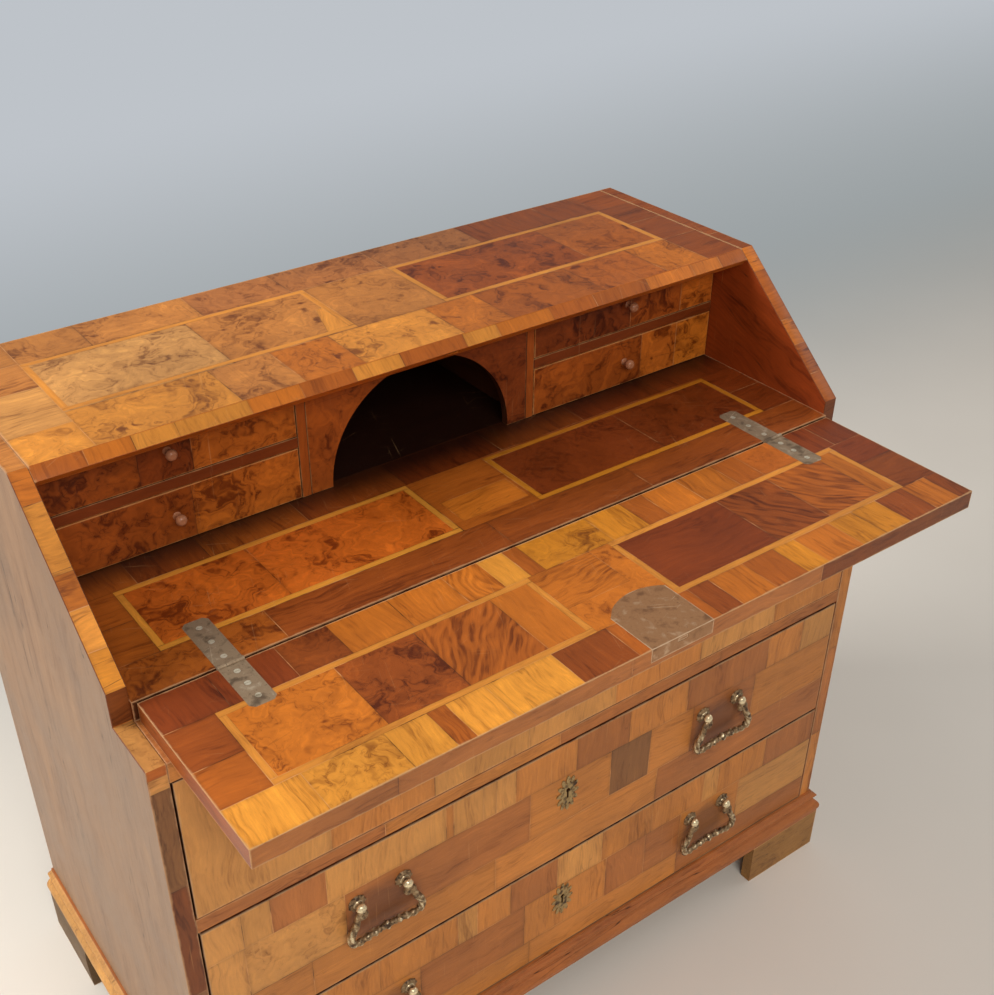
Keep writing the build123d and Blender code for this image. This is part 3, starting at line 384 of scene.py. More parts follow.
scratch = sums(tree, "MULTIPLY", sums(tree, "MULTIPLY", scratch, where_worn), given["Use"])
specks = ramp(tree, mottle(tree, given["Place"], 330.0, 2.0), 0.715, 0.78)
specks = sums(tree, "MULTIPLY", sums(tree, "MULTIPLY", specks, where_worn), given["Use"])
tree.links.new(sums(tree, "MAXIMUM", scratch, specks), made["Scratch"])
tree.links.new(
    sums(tree, "ADD", ramp(tree, haze, 0.35, 0.75, -0.05, 0.09), sums(tree, "MULTIPLY", scratch, 0.25)),
    made["Dull"],
)
tree.links.new(sums(tree, "MULTIPLY", scratch, -1.0), made["Height"])

# Seasoning cracks: fine dark splits that run with the grain, here and there.
tree, given, made = effect(
    "season_cracks", [("Place", "vector", None), ("Amount", "number", 0.5)], [("Crack", "number")]
)
place = stretched(tree, given["Place"], (100, 100, 100))
split = mottle(tree, stretched(tree, place, (0.030, 0.55, 0.55)), 1.0, 2.0, 0.45)
split = ramp(tree, sums(tree, "ABSOLUTE", sums(tree, "SUBTRACT", split, 0.5)), 0.007, 0.001)
gate = ramp(tree, mottle(tree, stretched(tree, place, (0.03, 0.11, 0.11)), 1.0, 2.0), 0.50, 0.60)
tree.links.new(sums(tree, "MULTIPLY", sums(tree, "MULTIPLY", split, gate), given["Amount"]), made["Crack"])


def drawn(tree, name, inputs):
    """Puts one of the effects above into a finish and gives its outputs."""
    return part_of(tree, "ShaderNodeGroup", inputs, node_tree=bpy.data.node_groups[name]).outputs


def rubbed(tree, here, node, width):
    """How far the arrises of a piece are rubbed, 0 to 1."""
    low, high = (Vector(corner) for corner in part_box(node))
    sizes = {"Middle": tuple((low + high) / 2), "Half Size": tuple((high - low) / 2)}
    return drawn(tree, "rubbed_arris", {"Place": here, "Width": width, **sizes})["Worn"]


def bumped(tree, shader, height, strength, distance):
    """Fine relief: the height of a pattern, how strongly it shows and its depth in metres."""
    bump = part_of(tree, "ShaderNodeBump", {"Height": height, "Strength": strength, "Distance": distance})
    tree.links.new(bump.outputs[0], shader.inputs["Normal"])


def laid_walnut(
    name, node, use=0.5, worn=0.004, worn_colour=(214, 168, 118), worn_by=0.7, gloss=0.36, cracks=0.25,
    bold=1.0, painted_shade_depths=None, darkened_round=(),
):
    """Veneer laid in blocks: reads the grain, the stain and the block's sides off the piece. Between two
    depths the wood is painted dark, as shade in a corner, and round the given places it is darker."""
    material, tree, shader = finish_of(name)
    here = part_of(tree, "ShaderNodeTexCoord").outputs["Object"]
    grain = part_of(tree, "ShaderNodeUVMap", uv_map="grain").outputs[0]
    sides_a = part_of(tree, "ShaderNodeUVMap", uv_map="sides_a").outputs[0]
    sides_b = part_of(tree, "ShaderNodeUVMap", uv_map="sides_b").outputs[0]
    stain = part_of(tree, "ShaderNodeAttribute", attribute_name="stain").outputs["Color"]
    habit = part_of(tree, "ShaderNodeAttribute", attribute_name="habit").outputs
    burl, stripe, contrast = part_of(tree, "ShaderNodeSeparateColor", {0: habit["Color"]}).outputs
    level = sums(tree, "MULTIPLY", habit["Alpha"], 3.0)
    level = part_of(tree, "ShaderNodeCombineXYZ", {2: level}).outputs[0]
    grain = part_of(tree, "ShaderNodeVectorMath", {0: grain, 1: level}, operation="ADD").outputs[0]
    contrast = sums(tree, "MULTIPLY", contrast, 2.0 * bold)
    figure = drawn(
        tree, "walnut_figure",
        {"Place": grain, "Stain": stain, "Burl": burl, "Stripe": stripe, "Contrast": contrast},
    )
    joint = drawn(tree, "laid_joint", {"Sides A": sides_a, "Sides B": sides_b, "Place": here})
    arris = rubbed(tree, here, node, worn)
    polish = drawn(tree, "old_polish", {"Place": here, "Use": use})
    crack = drawn(tree, "season_cracks", {"Place": grain, "Amount": cracks})["Crack"]
    shade = part_of(
        tree, "ShaderNodeCombineColor", {channel: polish["Shade"] for channel in range(3)}
    ).outputs[0]
    wood = blended(tree, 1.0, figure["Color"], shade, "MULTIPLY")
    wood = blended(tree, crack, wood, colour_of(34, 18, 11))
    wood = blended(tree, sums(tree, "MULTIPLY", joint["Soil"], 0.30), wood, colour_of(60, 34, 20))
    waxed = ramp(tree, mottle(tree, here, 11.0, 2.0), 0.47, 0.55)
    filling = blended(tree, waxed, colour_of(38, 20, 12), colour_of(214, 152, 98))
    wood = blended(tree, sums(tree, "MULTIPLY", joint["Line"], 0.85), wood, filling)
    # Painted shade: between two depths the wood goes almost black, as the shadow in the corner under the
    # nest.
    if painted_shade_depths:
        depth = part_of(tree, "ShaderNodeSeparateXYZ", {0: here}).outputs[1]
        depth = sums(tree, "MULTIPLY_ADD", mottle(tree, here, 22.0, 4.0), 0.016, depth)
        wood = blended(tree, ramp(tree, depth, painted_shade_depths[0], painted_shade_depths[1], 0.0, 0.9), wood, colour_of(26, 12, 8))
    # Round each given place the wood is darker, in a soft ragged patch.
    for spot in darkened_round:
        apart = part_of(tree, "ShaderNodeVectorMath", {0: here, 1: spot}, operation="SUBTRACT").outputs[0]
        apart = stretched(tree, apart, (19.0, 0.0, 23.0))
        apart = part_of(tree, "ShaderNodeVectorMath", {0: apart}, operation="LENGTH").outputs["Value"]
        apart = sums(tree, "MULTIPLY_ADD", mottle(tree, here, 40.0, 4.0), 0.5, apart)
        wood = blended(tree, ramp(tree, apart, 1.50, 0.75, 0.0, 0.62), wood, colour_of(82, 50, 38))
    wood = blended(tree, sums(tree, "MULTIPLY", polish["Scratch"], 0.30), wood, colour_of(226, 176, 120))
    wood = blended(tree, sums(tree, "MULTIPLY", arris, worn_by), wood, colour_of(*worn_colour))
    tree.links.new(wood, shader.inputs["Base Color"])
    rough = sums(tree, "ADD", polish["Dull"], gloss)
    rough = sums(tree, "MULTIPLY_ADD", arris, 0.25, rough)
    tree.links.new(rough, shader.inputs["Roughness"])
    shader.inputs["Specular IOR Level"].default_value = 0.30
    relief = sums(tree, "MULTIPLY_ADD", figure["Height"], 0.5, sums(tree, "MULTIPLY", joint["Line"], -1.0))
    relief = sums(tree, "ADD", relief, sums(tree, "MULTIPLY", polish["Height"], 0.35))
    bumped(tree, shader, sums(tree, "SUBTRACT", relief, crack), 0.35, 0.0004)
    return material


slope_turn = math.radians(41.2)
slope_sine, slope_cosine = math.sin(slope_turn), math.cos(slope_turn)
# In mm: from the origin to the left end of the case and to its front, the latter also measured
# along the slope, and how high over the floor the slope begins.
half_width, front_depth, front_on_slope, slope_foot = 530, 200.5, 150.9, 803.8
# The ways a face can look: outward direction, then the directions of the two rulers on it and
# their zeros. Rulers start at the left end of the case, at its front and on the floor, in mm.
outlooks = {
    "up": ((0, 0, 1), (1, 0, 0), (0, 1, 0), (half_width, front_depth)),
    "front": ((0, -1, 0), (1, 0, 0), (0, 0, 1), (half_width, 0)),
    "back": ((0, 1, 0), (1, 0, 0), (0, 0, 1), (half_width, 0)),
    "left": ((-1, 0, 0), (0, 1, 0), (0, 0, 1), (front_depth, 0)),
    "right": ((1, 0, 0), (0, 1, 0), (0, 0, 1), (front_depth, 0)),
    "under": ((0, 0, -1), (1, 0, 0), (0, 1, 0), (half_width, front_depth)),
    "slope": (
        (0, -slope_sine, slope_cosine),
        (1, 0, 0),
        (0, slope_cosine, slope_sine),
        (half_width, front_on_slope - slope_foot * slope_sine),
    ),
}
# A face looks one of these ways when the cosine between the two is at least this.
square_on = 0.995


def piece(kind, u0, u1, v0, v1, stain, turn=0, contrast=1.0):
    """A square-cut block of veneer, from its rulers; kind is plain, burl or stripe."""
    return kind, [(u0, v0), (u1, v0), (u1, v1), (u0, v1)], stain, turn, contrast


def row(along, start, low, high, *runs, turn=None):
    """Blocks laid end to end: along the first ruler ("u") or the second ("v"). A run is where
    the block ends, its stain, and after that its kind and the turn of its grain. The grain
    crosses the row unless a turn is given, for the row or for the block."""
    if turn is None:
        turn = 90 if along == "u" else 0
    laid = []
    for end, stain, *rest in runs:
        kind = rest[0] if rest else "plain"
        own_turn = rest[1] if len(rest) > 1 else turn
        edges = (start, end, low, high) if along == "u" else (low, high, start, end)
        laid.append(piece(kind, *edges, stain, own_turn))
        start = end
    return laid


def offcuts(seed, start, end, shortest, longest, stains):
    """Blocks of chance length laid end to end: where each starts and stops, and its stain."""
    chance = random.Random(seed)
    cut = []
    while start < end:
        stop = start + chance.uniform(shortest, longest)
        cut.append((start, stop, chance.choice(stains)))
        start = stop
    return cut


def banding(u0, u1, v0, v1, stain="amber", width=8.5):
    """A rectangle of light stringing, given by its outer edges."""
    return [
        piece("plain", u0, u1, v0, v0 + width, stain, 0, 0.7),
        piece("plain", u0, u1, v1 - width, v1, stain, 0, 0.7),
        piece("plain", u0, u0 + width, v0 + width, v1 - width, stain, 90, 0.7),
        piece("plain", u1 - width, u1, v0 + width, v1 - width, stain, 90, 0.7),
    ]


def board_copy(name, node, edge_stain, sheets, arris=0.0008, shortest=0.03, seed=1):
    """A copy of a CAD board with softened arrises, its faces cut into blocks of veneer. What no
    block covers is plain and takes the edge stain."""
    bm = bmesh.new()
    bm.from_mesh(nodes[node].data)
    bmesh.ops.remove_doubles(bm, verts=bm.verts, dist=1e-6)
    bmesh.ops.dissolve_limit(bm, angle_limit=math.radians(0.3), verts=bm.verts, edges=bm.edges)
    sharp = [
        e
        for e in bm.edges
        if len(e.link_faces) == 2 and e.calc_face_angle_signed(0) > 0.5 and e.calc_length() > shortest
    ]
    bmesh.ops.bevel(
        bm, geom=sharp, offset=arris, segments=2, profile=0.5, affect="EDGES", clamp_overlap=True
    )
    bmesh.ops.triangulate(bm, faces=bm.faces)
    grain = bm.loops.layers.uv.new("grain")
    sides = (bm.loops.layers.uv.new("sides_a"), bm.loops.layers.uv.new("sides_b"))
    stain_layer = bm.loops.layers.float_color.new("stain")
    habit_layer = bm.loops.layers.float_color.new("habit")
    for side, blocks in sheets.items():
        outward, u_axis, v_axis, zero = (Vector(v) for v in outlooks[side])
        lines = set()
        for _, corners, *_ in blocks:
            for a, b in zip(corners, corners[1:] + corners[:1]):
                if a[0] == b[0]:
                    lines.add(("u", a[0]))
                elif a[1] == b[1]:
                    lines.add(("v", a[1]))
                else:
                    lines.add((a, b))
        for line in sorted(lines, key=str):
            if line[0] == "u":
                through, across = u_axis * ((line[1] - zero[0]) / 1000), u_axis
            elif line[0] == "v":
                through, across = v_axis * ((line[1] - zero[1]) / 1000), v_axis
            else:
                a, b = line
                through = u_axis * ((a[0] - zero[0]) / 1000) + v_axis * ((a[1] - zero[1]) / 1000)
                across = (u_axis * (b[0] - a[0]) + v_axis * (b[1] - a[1])).cross(outward)
            faces = [f for f in bm.faces if f.normal.dot(outward) > square_on]
            edges = list(dict.fromkeys(e for f in faces for e in f.edges))
            verts = list(dict.fromkeys(v for f in faces for v in f.verts))
            bmesh.ops.bisect_plane(
                bm, geom=faces + edges + verts, dist=1e-7, plane_co=through, plane_no=across
            )
    bm.normal_update()
    chance = random.Random(seed)
    habits = {}
    for key in [*outlooks, *((side, index) for side in sheets for index in range(len(sheets[side])))]:
        habits[key] = (
            (chance.random() * 4, chance.random() * 4),
            chance.random(),
            0.90 + 0.2 * chance.random(),
            chance.choice((-1, 1)),
        )
    for face in bm.faces:
        side = max(outlooks, key=lambda s: face.normal.dot(Vector(outlooks[s][0])))
        outward, u_axis, v_axis, zero = (Vector(v) for v in outlooks[side])
        centre = face.calc_center_median()
        cu = centre.dot(u_axis) * 1000 + zero[0]
        cv = centre.dot(v_axis) * 1000 + zero[1]
        key, kind, corners, stain, turn, contrast = side, "plain", None, edge_stain, 0, 1.0
        if side in sheets and face.normal.dot(outward) > square_on:
            for index, block in enumerate(sheets[side]):
                turning = [
                    (b[0] - a[0]) * (cv - a[1]) - (b[1] - a[1]) * (cu - a[0])
                    for a, b in zip(block[1], block[1][1:] + block[1][:1])
                ]
                if min(turning) >= 0 or max(turning) <= 0:
                    key, (kind, corners, stain, turn, contrast) = (side, index), block
        (shift_u, shift_v), level, tone, flip = habits[key]
        colour = colour_of(*stains[stain])
        colour = tuple(min(1.0, c * tone) for c in colour[:3]) + (1.0,)
        habit = (1.0 if kind == "burl" else 0.0, 1.0 if kind == "stripe" else 0.0, contrast / 2, level)
        spin = Matrix.Rotation(math.radians(-turn), 2)
        for loop in face.loops:
            u = loop.vert.co.dot(u_axis) * 1000 + zero[0]
            v = loop.vert.co.dot(v_axis) * 1000 + zero[1]
            laid = spin @ Vector((u / 1000, v / 1000))
            loop[grain].uv = (laid[0] + shift_u, laid[1] * flip + shift_v)
            loop[stain_layer] = colour
            loop[habit_layer] = habit
            apart = [1.0, 1.0, 1.0, 1.0]
            if corners:
                for i, (a, b) in enumerate(zip(corners, corners[1:] + corners[:1])):
                    length = math.hypot(b[0] - a[0], b[1] - a[1])
                    gap = (b[0] - a[0]) * (v - a[1]) - (b[1] - a[1]) * (u - a[0])
                    apart[i] = abs(gap) / length / 1000
            loop[sides[0]].uv = apart[:2]
            loop[sides[1]].uv = apart[2:]
    mesh = bpy.data.meshes.new(name)
    bm.to_mesh(mesh)
    bm.free()
    board = bpy.data.objects.new(name, mesh)
    bpy.context.scene.collection.objects.link(board)
    return board


def fit_board(board, node, body, material):
    """Gives a veneered board its finish and puts it in the place of its CAD piece."""
    board.data.materials.clear()
    board.data.materials.append(material)
    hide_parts(node)
    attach(board, body)


# ---------------------------------------------------------------- writing fall
# One softwood board veneered all over, crossbanded round the rim, with two panels framed in
# maple stringing. It lies open on the ledge, hung on two strap hinges.
fall_top = [
    piece("plain", 26, 1034, -167, 73, "tawny", 0),
    piece("burl", 462, 596, -110, 12, "orange", 0, 0.9),
    piece("plain", 466, 560, -60, 12, "orange", 4, 1.1),
    piece("burl", 82, 212, -110, 12, "orange", 20, 1.15),
    piece("burl", 212, 310, -110, 12, "chestnut", 0, 1.4),
    piece("stripe", 310, 410, -110, 12, "tawny", 52, 1.15),
    piece("plain", 410, 470, -110, 12, "orange", 90, 0.8),
    piece("plain", 588, 757, -110, 12, "russet", 0, 0.9),
    piece("stripe", 757, 846, -110, 12, "chestnut", 128, 1.2),
    piece("stripe", 846, 936, -110, 12, "tawny", 130, 1.25),
    piece("plain", 936, 972, -110, 12, "orange", 90, 0.8),
]
fall_top += row("v", -167, 26, 82, (-110, "honey"), (-52, "tawny"), (12, "chestnut"), (73, "chestnut"))
fall_top += row("v", -167, 972, 1034, (-110, "tawny"), (-40, "chestnut"), (20, "russet"), (73, "russet"))
fall_top += row(
    "u", 26, 12, 73,
    (100, "russet"), (178, "russet"), (241, "chestnut", "burl"), (318, "orange"), (391, "orange"),
    (442, "orange", "stripe"), (476, "honey"), (497, "tawny"), (600, "yellow", "burl"),
    (656, "yellow"), (692, "tawny"), (750, "orange"), (811, "orange"), (853, "tawny"),
    (945, "tawny", "burl"), (985, "russet"), (1034, "russet"),
)
fall_top += row(
    "u", 26, -167, -110,
    (109, "honey"), (200, "honey", "burl"), (250, "honey"), (272, "tawny"), (320, "honey"),
    (406, "honey"), (480, "chestnut"), (600, "tawny"), (632, "chestnut"), (686, "orange"),
    (736, "tawny"), (771, "yellow"), (831, "orange"), (872, "yellow"), (916, "yellow"),
    (966, "chestnut"), (1010, "orange"), (1034, "chestnut"),
)
fall_top += banding(82, 470, -110, 12) + banding(588, 972, -110, 12)
fall_top += [piece("plain", 440, 476, 12, 73, "honey", 90, 0.7)]
fall_face = [
    piece("plain", 26, 1034, -167, 73, "tawny", 0),
    piece("burl", 90, 280, -112, 18, "clay", 0, 1.2),
    piece("burl", 280, 470, -112, 18, "clay", 30, 1.2),
    piece("plain", 470, 590, -112, 18, "tawny", 90),
    piece("burl", 590, 780, -112, 18, "mauve", 0, 1.2),
    piece("burl", 780, 970, -112, 18, "clay", 20, 1.2),
]
for low, high in ((-167, -112), (18, 73)):
    fall_face += row(
        "u", 26, low, high,
        (90, "tawny"), (166, "clay"), (240, "mauve"), (318, "clay"), (390, "orange"), (462, "clay"),
        (530, "mauve"), (598, "clay"), (670, "orange"), (744, "clay"), (820, "mauve"), (895, "clay"),
        (970, "mauve"), (1034, "tawny"),
    )
fall_face += banding(90, 470, -112, 18) + banding(590, 970, -112, 18)
fall = board_copy(
    "fall", "fall_board", "chestnut",
    {
        "up": fall_top,
        "front": row(
            "u", 26, 760, 786, (180, "mauve"), (470, "mauve"), (760, "mauve"), (1034, "umber"), turn=0
        ),
        "back": [piece("plain", 20, 1040, 755, 790, "dark", 0)],
        "under": fall_face,
    },
    seed=3,
)
fall_polish = laid_walnut("fall_polish", "fall_board", use=0.55, worn=0.0035, bold=0.85)
fit_board(fall, "fall_board", "fall", fall_polish)

# ---------------------------------------------------------------- writing bed
# Fixed part of the writing surface, veneered like the fall and much more scratched.
bed_top = [
    piece("plain", 22, 1038, 74, 556, "chestnut", 0),
    piece("burl", 80, 240, 133, 260, "copper", 30, 1.15),
    piece("burl", 240, 468, 133, 260, "copper", 0, 1.05),
    piece("plain", 468, 585, 75, 262, "tawny", 0, 0.9),
    piece("plain", 480, 580, 150, 200, "orange", 6, 0.8),
    piece("burl", 585, 800, 133, 257, "russet", 0, 0.8),
    piece("burl", 800, 978, 133, 257, "russet", 40, 0.9),
]
bed_top += row(
    "u", 22, 75, 133,
    (200, "tawny", "burl"), (500, "chestnut"), (720, "chestnut"), (1038, "chestnut"), turn=0,
)
bed_top += row("v", 133, 22, 80, (200, "tawny"), (262, "tawny"), (320, "chestnut"))
bed_top += row("v", 133, 978, 1038, (200, "russet"), (262, "russet"), (320, "russet"))
bed_top += row(
    "u", 22, 260, 320,
    (110, "tawny"), (200, "chestnut"), (330, "tawny"), (470, "chestnut"), (620, "russet"),
    (760, "chestnut"), (900, "russet"), (1038, "russet"),
)
# Under the nest and inside the arch the bed is laid in the dark stain: painted shade of the pigeonholes.
bed_top += [piece("plain", 22, 1038, 322, 562, "dark", 0)]
bed_top += banding(80, 468, 133, 260, "honey") + banding(585, 978, 133, 257, "yellow")
bed_edge = [piece("plain", 0, 1060, 740, 790, "dark", 0)]
bed = board_copy("bed", "writing_bed", "russet", {"up": bed_top, "front": bed_edge}, seed=5)
# Towards the nest the bed is painted dark, as the shadow under it.
bed_polish = laid_walnut(
    "bed_polish", "writing_bed", use=1.0, worn=0.004, worn_colour=(206, 156, 110), worn_by=0.75,
    painted_shade_depths=(0.050, 0.122),
)
fit_board(bed, "writing_bed", "case", bed_polish)

# ---------------------------------------------------------------- top board
# Veneered in two framed panels with burl blocks round them; its nose is bevelled to the slope.
top_face = [
    piece("plain", 22, 1038, 260, 570, "orange", 0),
    piece("burl", 95, 300, 355, 497, "olive", 0, 1.1),
    piece("burl", 300, 470, 355, 497, "clay", 25, 1.1),
    ("plain", [(430, 360), (470, 360), (470, 432), (452, 432)], "amber", 60, 0.8),
    piece("burl", 470, 600, 355, 497, "clay", 0, 0.9),
    piece("burl", 600, 846, 355, 497, "rust", 0, 1.25),
    piece("burl", 846, 975, 355, 497, "tawny", 0, 1.0),
]
top_face += row(
    "u", 22, 260, 355,
    (95, "amber", "burl", 0), (265, "amber", "burl"), (345, "clay", "burl"), (425, "orange", "burl"),
    (565, "amber", "burl"), (640, "orange", "burl"), (790, "tawny", "burl"), (900, "tawny", "burl"),
    (975, "orange", "burl"), (1038, "chestnut", "plain", 0),
)
# The rear row is laid in paler, greyer stains: the veneer's own colour with a painted sheen over it, the
# haze of light off the back of the top.
top_face += row(
    "u", 22, 497, 570,
    (95, "tan"), (185, "clay", "burl"), (330, "clay", "burl"), (455, "mauve", "burl"),
    (600, "mauve", "burl"), (760, "mauve", "burl"), (900, "chestnut"), (1038, "chestnut"),
)
top_face += row("v", 260, 22, 95, (330, "amber", "burl", 0), (430, "tan"), (500, "clay"), (570, "clay"))
top_face += row("v", 355, 975, 1038, (430, "chestnut"), (497, "chestnut"), (570, "chestnut"))
top_face += banding(95, 470, 357, 497, "amber") + banding(600, 975, 355, 496, "amber")
nose = [
    piece("plain", start, min(1038, stop), -400, 900, stain, 90, 0.8)
    for start, stop, stain in offcuts(8, 22, 1038, 46, 96, ("orange", "amber", "orange", "tawny"))
]
top = board_copy("top", "top_board", "tawny", {"up": top_face, "slope": nose, "front": nose}, seed=9)
top_polish = laid_walnut(
    "top_polish", "top_board", use=0.6, worn=0.005, worn_colour=(222, 176, 122), worn_by=0.6,
    gloss=0.42, bold=0.9,
)
fit_board(top, "top_board", "case", top_polish)

# ---------------------------------------------------------------- long drawer fronts
# Flat fronts in three bands: blocks of upright grain above, a wide middle band, and a lower
# band. Only waxed, so they are duller and greyer than the writing surfaces.
drawer_faces = {
    "1": row(
        "u", 22, 530, 740,
        (190, "tan"), (330, "clay"), (470, "tan"), (610, "tan"), (760, "clay"), (900, "tan"),
        (1038, "clay"),
    ),
    "2": [piece("plain", 22, 1038, 300, 515, "clay", 0)]
    + row(
        "u", 22, 370, 452,
        (70, "tan", "plain", 90), (200, "tan", "burl"), (475, "mauve"), (611, "clay"),
        (681, "slate", "plain", 90), (760, "clay"), (880, "mauve"), (1038, "clay"), turn=0,
    )
    + row(
        "u", 22, 452, 515,
        (71, "tan"), (107, "tan"), (178, "mauve"), (345, "tan"), (356, "clay"), (401, "tan"), (421, "tan"),
        (451, "tan"), (550, "clay"), (640, "mauve"), (745, "clay"), (900, "mauve"), (970, "clay"),
        (1038, "tan"),
    )
    + row("u", 22, 300, 370, (150, "clay"), (420, "clay"), (700, "clay"), (1038, "mauve"), turn=0),
    "3": [piece("plain", 22, 1038, 110, 310, "clay", 0)]
    + row(
        "u", 22, 165, 245,
        (300, "clay"), (470, "mauve"), (616, "clay", "plain", 90), (691, "mauve", "plain", 90),
        (760, "mauve"), (880, "clay"), (1038, "tan"), turn=0,
    )
    + row(
        "u", 22, 245, 310,
        (165, "tan"), (240, "clay"), (360, "clay"), (391, "tan"), (446, "clay"), (526, "mauve"),
        (606, "tan"), (700, "clay"), (801, "clay"), (831, "tan"), (930, "clay"), (1038, "mauve"),
    )
    + row("u", 22, 110, 165, (200, "clay"), (480, "clay"), (760, "clay"), (1038, "mauve"), turn=0),
}
# In metres: a handle from the middle of its front, and how far under the posts the darker patch round it is
# centred.
handle_offset, dark_patch_drop = 0.282, 0.018
for number, blocks in drawer_faces.items():
    node = f"drawer_{number}_front"
    # Their edges take the dark stain: painted shade in the gaps between the drawers.
    front = board_copy(f"drawer_{number}_face", node, "dark", {"front": blocks}, seed=20 + int(number))
    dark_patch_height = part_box(f"drawer_{number}_handle_posts")[0][2] - dark_patch_drop
    front_wax = laid_walnut(
        f"drawer_{number}_wax", node, use=0.7, worn=0.004, worn_colour=(206, 166, 124), worn_by=0.6,
        gloss=0.44, bold=0.68, darkened_round=[(hand * handle_offset, 0.0, dark_patch_height) for hand in (-1, 1)],
    )
    fit_board(front, node, f"drawer_{number}", front_wax)

# ---------------------------------------------------------------- sides
# Solid-looking panels in one wide sheet of dull straight-grained walnut; their slope and their
# front edge are crossbanded, and the ledge behind the fall carries a patch of burl.
# For each side: its two edges on the ruler, the way its inner face looks, the stains of the slope,
# the two stains of the front edge, the stain of the top edge, and the seed of its grain.
side_looks = {
    "left": (
        0, 22, "right", ("amber", "yellow", "orange", "yellow"), ("umber", "slate"), "clay", 40
    ),
    "right": (
        1038, 1060, "left", ("tawny", "chestnut", "orange", "tawny"), ("clay", "mauve"), "chestnut", 41
    ),
}
for hand, (u0, u1, inward, slope_stains, edge_stains, top_stain, seed) in side_looks.items():
    node = f"side_{hand}"
    low_stain, high_stain = edge_stains
    slope_band = [
        piece("plain", 0, 1060, start, stop, stain, 0)
        for start, stop, stain in offcuts(4, -20.0, 320, 38, 88, slope_stains)
    ]
    front_band = row(
        "v", 60, u0, u1,
        (250, low_stain), (420, high_stain), (590, low_stain), (730, high_stain),
        (748, "tan", "plain", 0), (762, "tawny", "plain", 0), (970, "umber", "plain", 0), turn=90,
    )
    top_band = row("v", 255, u0, u1, *((end, top_stain) for end in (330, 430, 500, 575)))
    side = board_copy(
        f"{hand}_side", node, "umber",
        {
            hand: [piece("plain", -10, 570, 60, 970, "ash", 90, 0.62)],
            inward: [piece("plain", -10, 570, 60, 970, "wine", 20)],
            "slope": slope_band,
            "front": front_band,
            "up": [piece("burl", u0, u1, -10, 90, "tan", 0, 0.9)] + top_band,
        },
        seed=seed,
    )
    side_wax = laid_walnut(
        f"{hand}_side_wax", node, use=0.6, worn=0.004, worn_colour=(214, 170, 124), worn_by=0.6,
        gloss=0.46, cracks=0.75,
    )
    fit_board(side, node, "case", side_wax)

# ---------------------------------------------------------------- rails
# Softwood rails faced with walnut, housed between the sides: one under the writing bed, one over
# the middle drawer and one behind the fronts, over the bottom drawer.
rail_faces = {
    "top_rail": (
        row(
            "u", 22, 730, 765,
            (150, "clay"), (400, "slate"), (640, "mauve"), (850, "clay"), (1038, "mauve"), turn=0,
        ),
        58,
    ),
    "drawer_rails": (
        row("u", 22, 290, 540, (260, "mauve"), (520, "clay"), (800, "mauve"), (1038, "mauve"), turn=0),
        62,
    ),
}
for node, (blocks, seed) in rail_faces.items():
    rail = board_copy(f"{node}_face", node, "mauve", {"front": blocks}, seed=seed)
    rail_wax = laid_walnut(
        f"{node}_wax", node, use=0.6, worn=0.003, worn_colour=(196, 150, 108), worn_by=0.6, gloss=0.5,
        cracks=0.4,
    )
    fit_board(rail, node, "case", rail_wax)

# ---------------------------------------------------------------- nest
# Pigeonhole fitting under the top: two partitions, a shelf on each side, an arched panel cut
# from burl, and four small drawers. The pieces are housed in each other and rubbed in with glue.
nest_faces = {
    "nest_partitions": ([piece("plain", 340, 720, 780, 950, "rust", 90, 0.9)], 75),
    "nest_shelves": ([piece("plain", 20, 1040, 780, 950, "bole", 0, 0.7)], 72),
    "arch_panel": (
        [
            piece("burl", 350, 530, 780, 950, "rust", 0, 1.1),
            piece("burl", 530, 710, 780, 950, "bole", 0, 1.1),
        ],
        70,
    ),
}
for node, (blocks, seed) in nest_faces.items():
    # Their edges and inner faces take the dark stain: painted shade inside the pigeonholes.
    panel = board_copy(f"{node}_face", node, "dark", {"front": blocks}, shortest=0.012, seed=seed)
    panel_polish = laid_walnut(
        f"{node}_polish", node, use=0.4, worn=0.002, worn_colour=(206, 148, 92), worn_by=0.6, gloss=0.42,
        cracks=0.5,
    )
    fit_board(panel, node, "case", panel_polish)

# Where each burl block of a small front ends, its stain and the turn of its grain.
small_faces = {
    "left_lower": (20, ((208, "rust", 0), (360, "tawny", 0)), 71),
    "left_upper": (20, ((150, "rust", 30), (215, "bole", 0), (360, "tawny", 0)), 72),
    "right_lower": (700, ((905, "rust", 0), (972, "tawny", 0), (1040, "orange", 0)), 73),
    "right_upper": (700, ((880, "bole", 0), (975, "rust", 60), (1040, "tawny", 0)), 74),
}
for place_name, (start, burls, seed) in small_faces.items():
    node = f"small_drawer_{place_name}_front"
    blocks = row("u", start, 780, 950, *((end, stain, "burl", turn) for end, stain, turn in burls))
    front = board_copy(
        f"small_drawer_{place_name}_face", node, "tawny", {"front": blocks}, arris=0.0006, shortest=0.012,
        seed=seed,
    )
    small_polish = laid_walnut(
        f"small_drawer_{place_name}_polish", node, use=0.5, worn=0.0025, worn_colour=(210, 156, 96),
        worn_by=0.6, cracks=0.4, bold=1.3,
    )
    fit_board(front, node, f"small_drawer_{place_name}", small_polish)


def along_grain(tree, x, y, z, along):
    """The place in a piece with the direction of its grain, x, y or z, put first."""
    order = {"x": (x, y, z), "y": (y, x, z), "z": (z, x, y)}[along]
    return part_of(tree, "ShaderNodeCombineXYZ", dict(enumerate(order))).outputs[0]


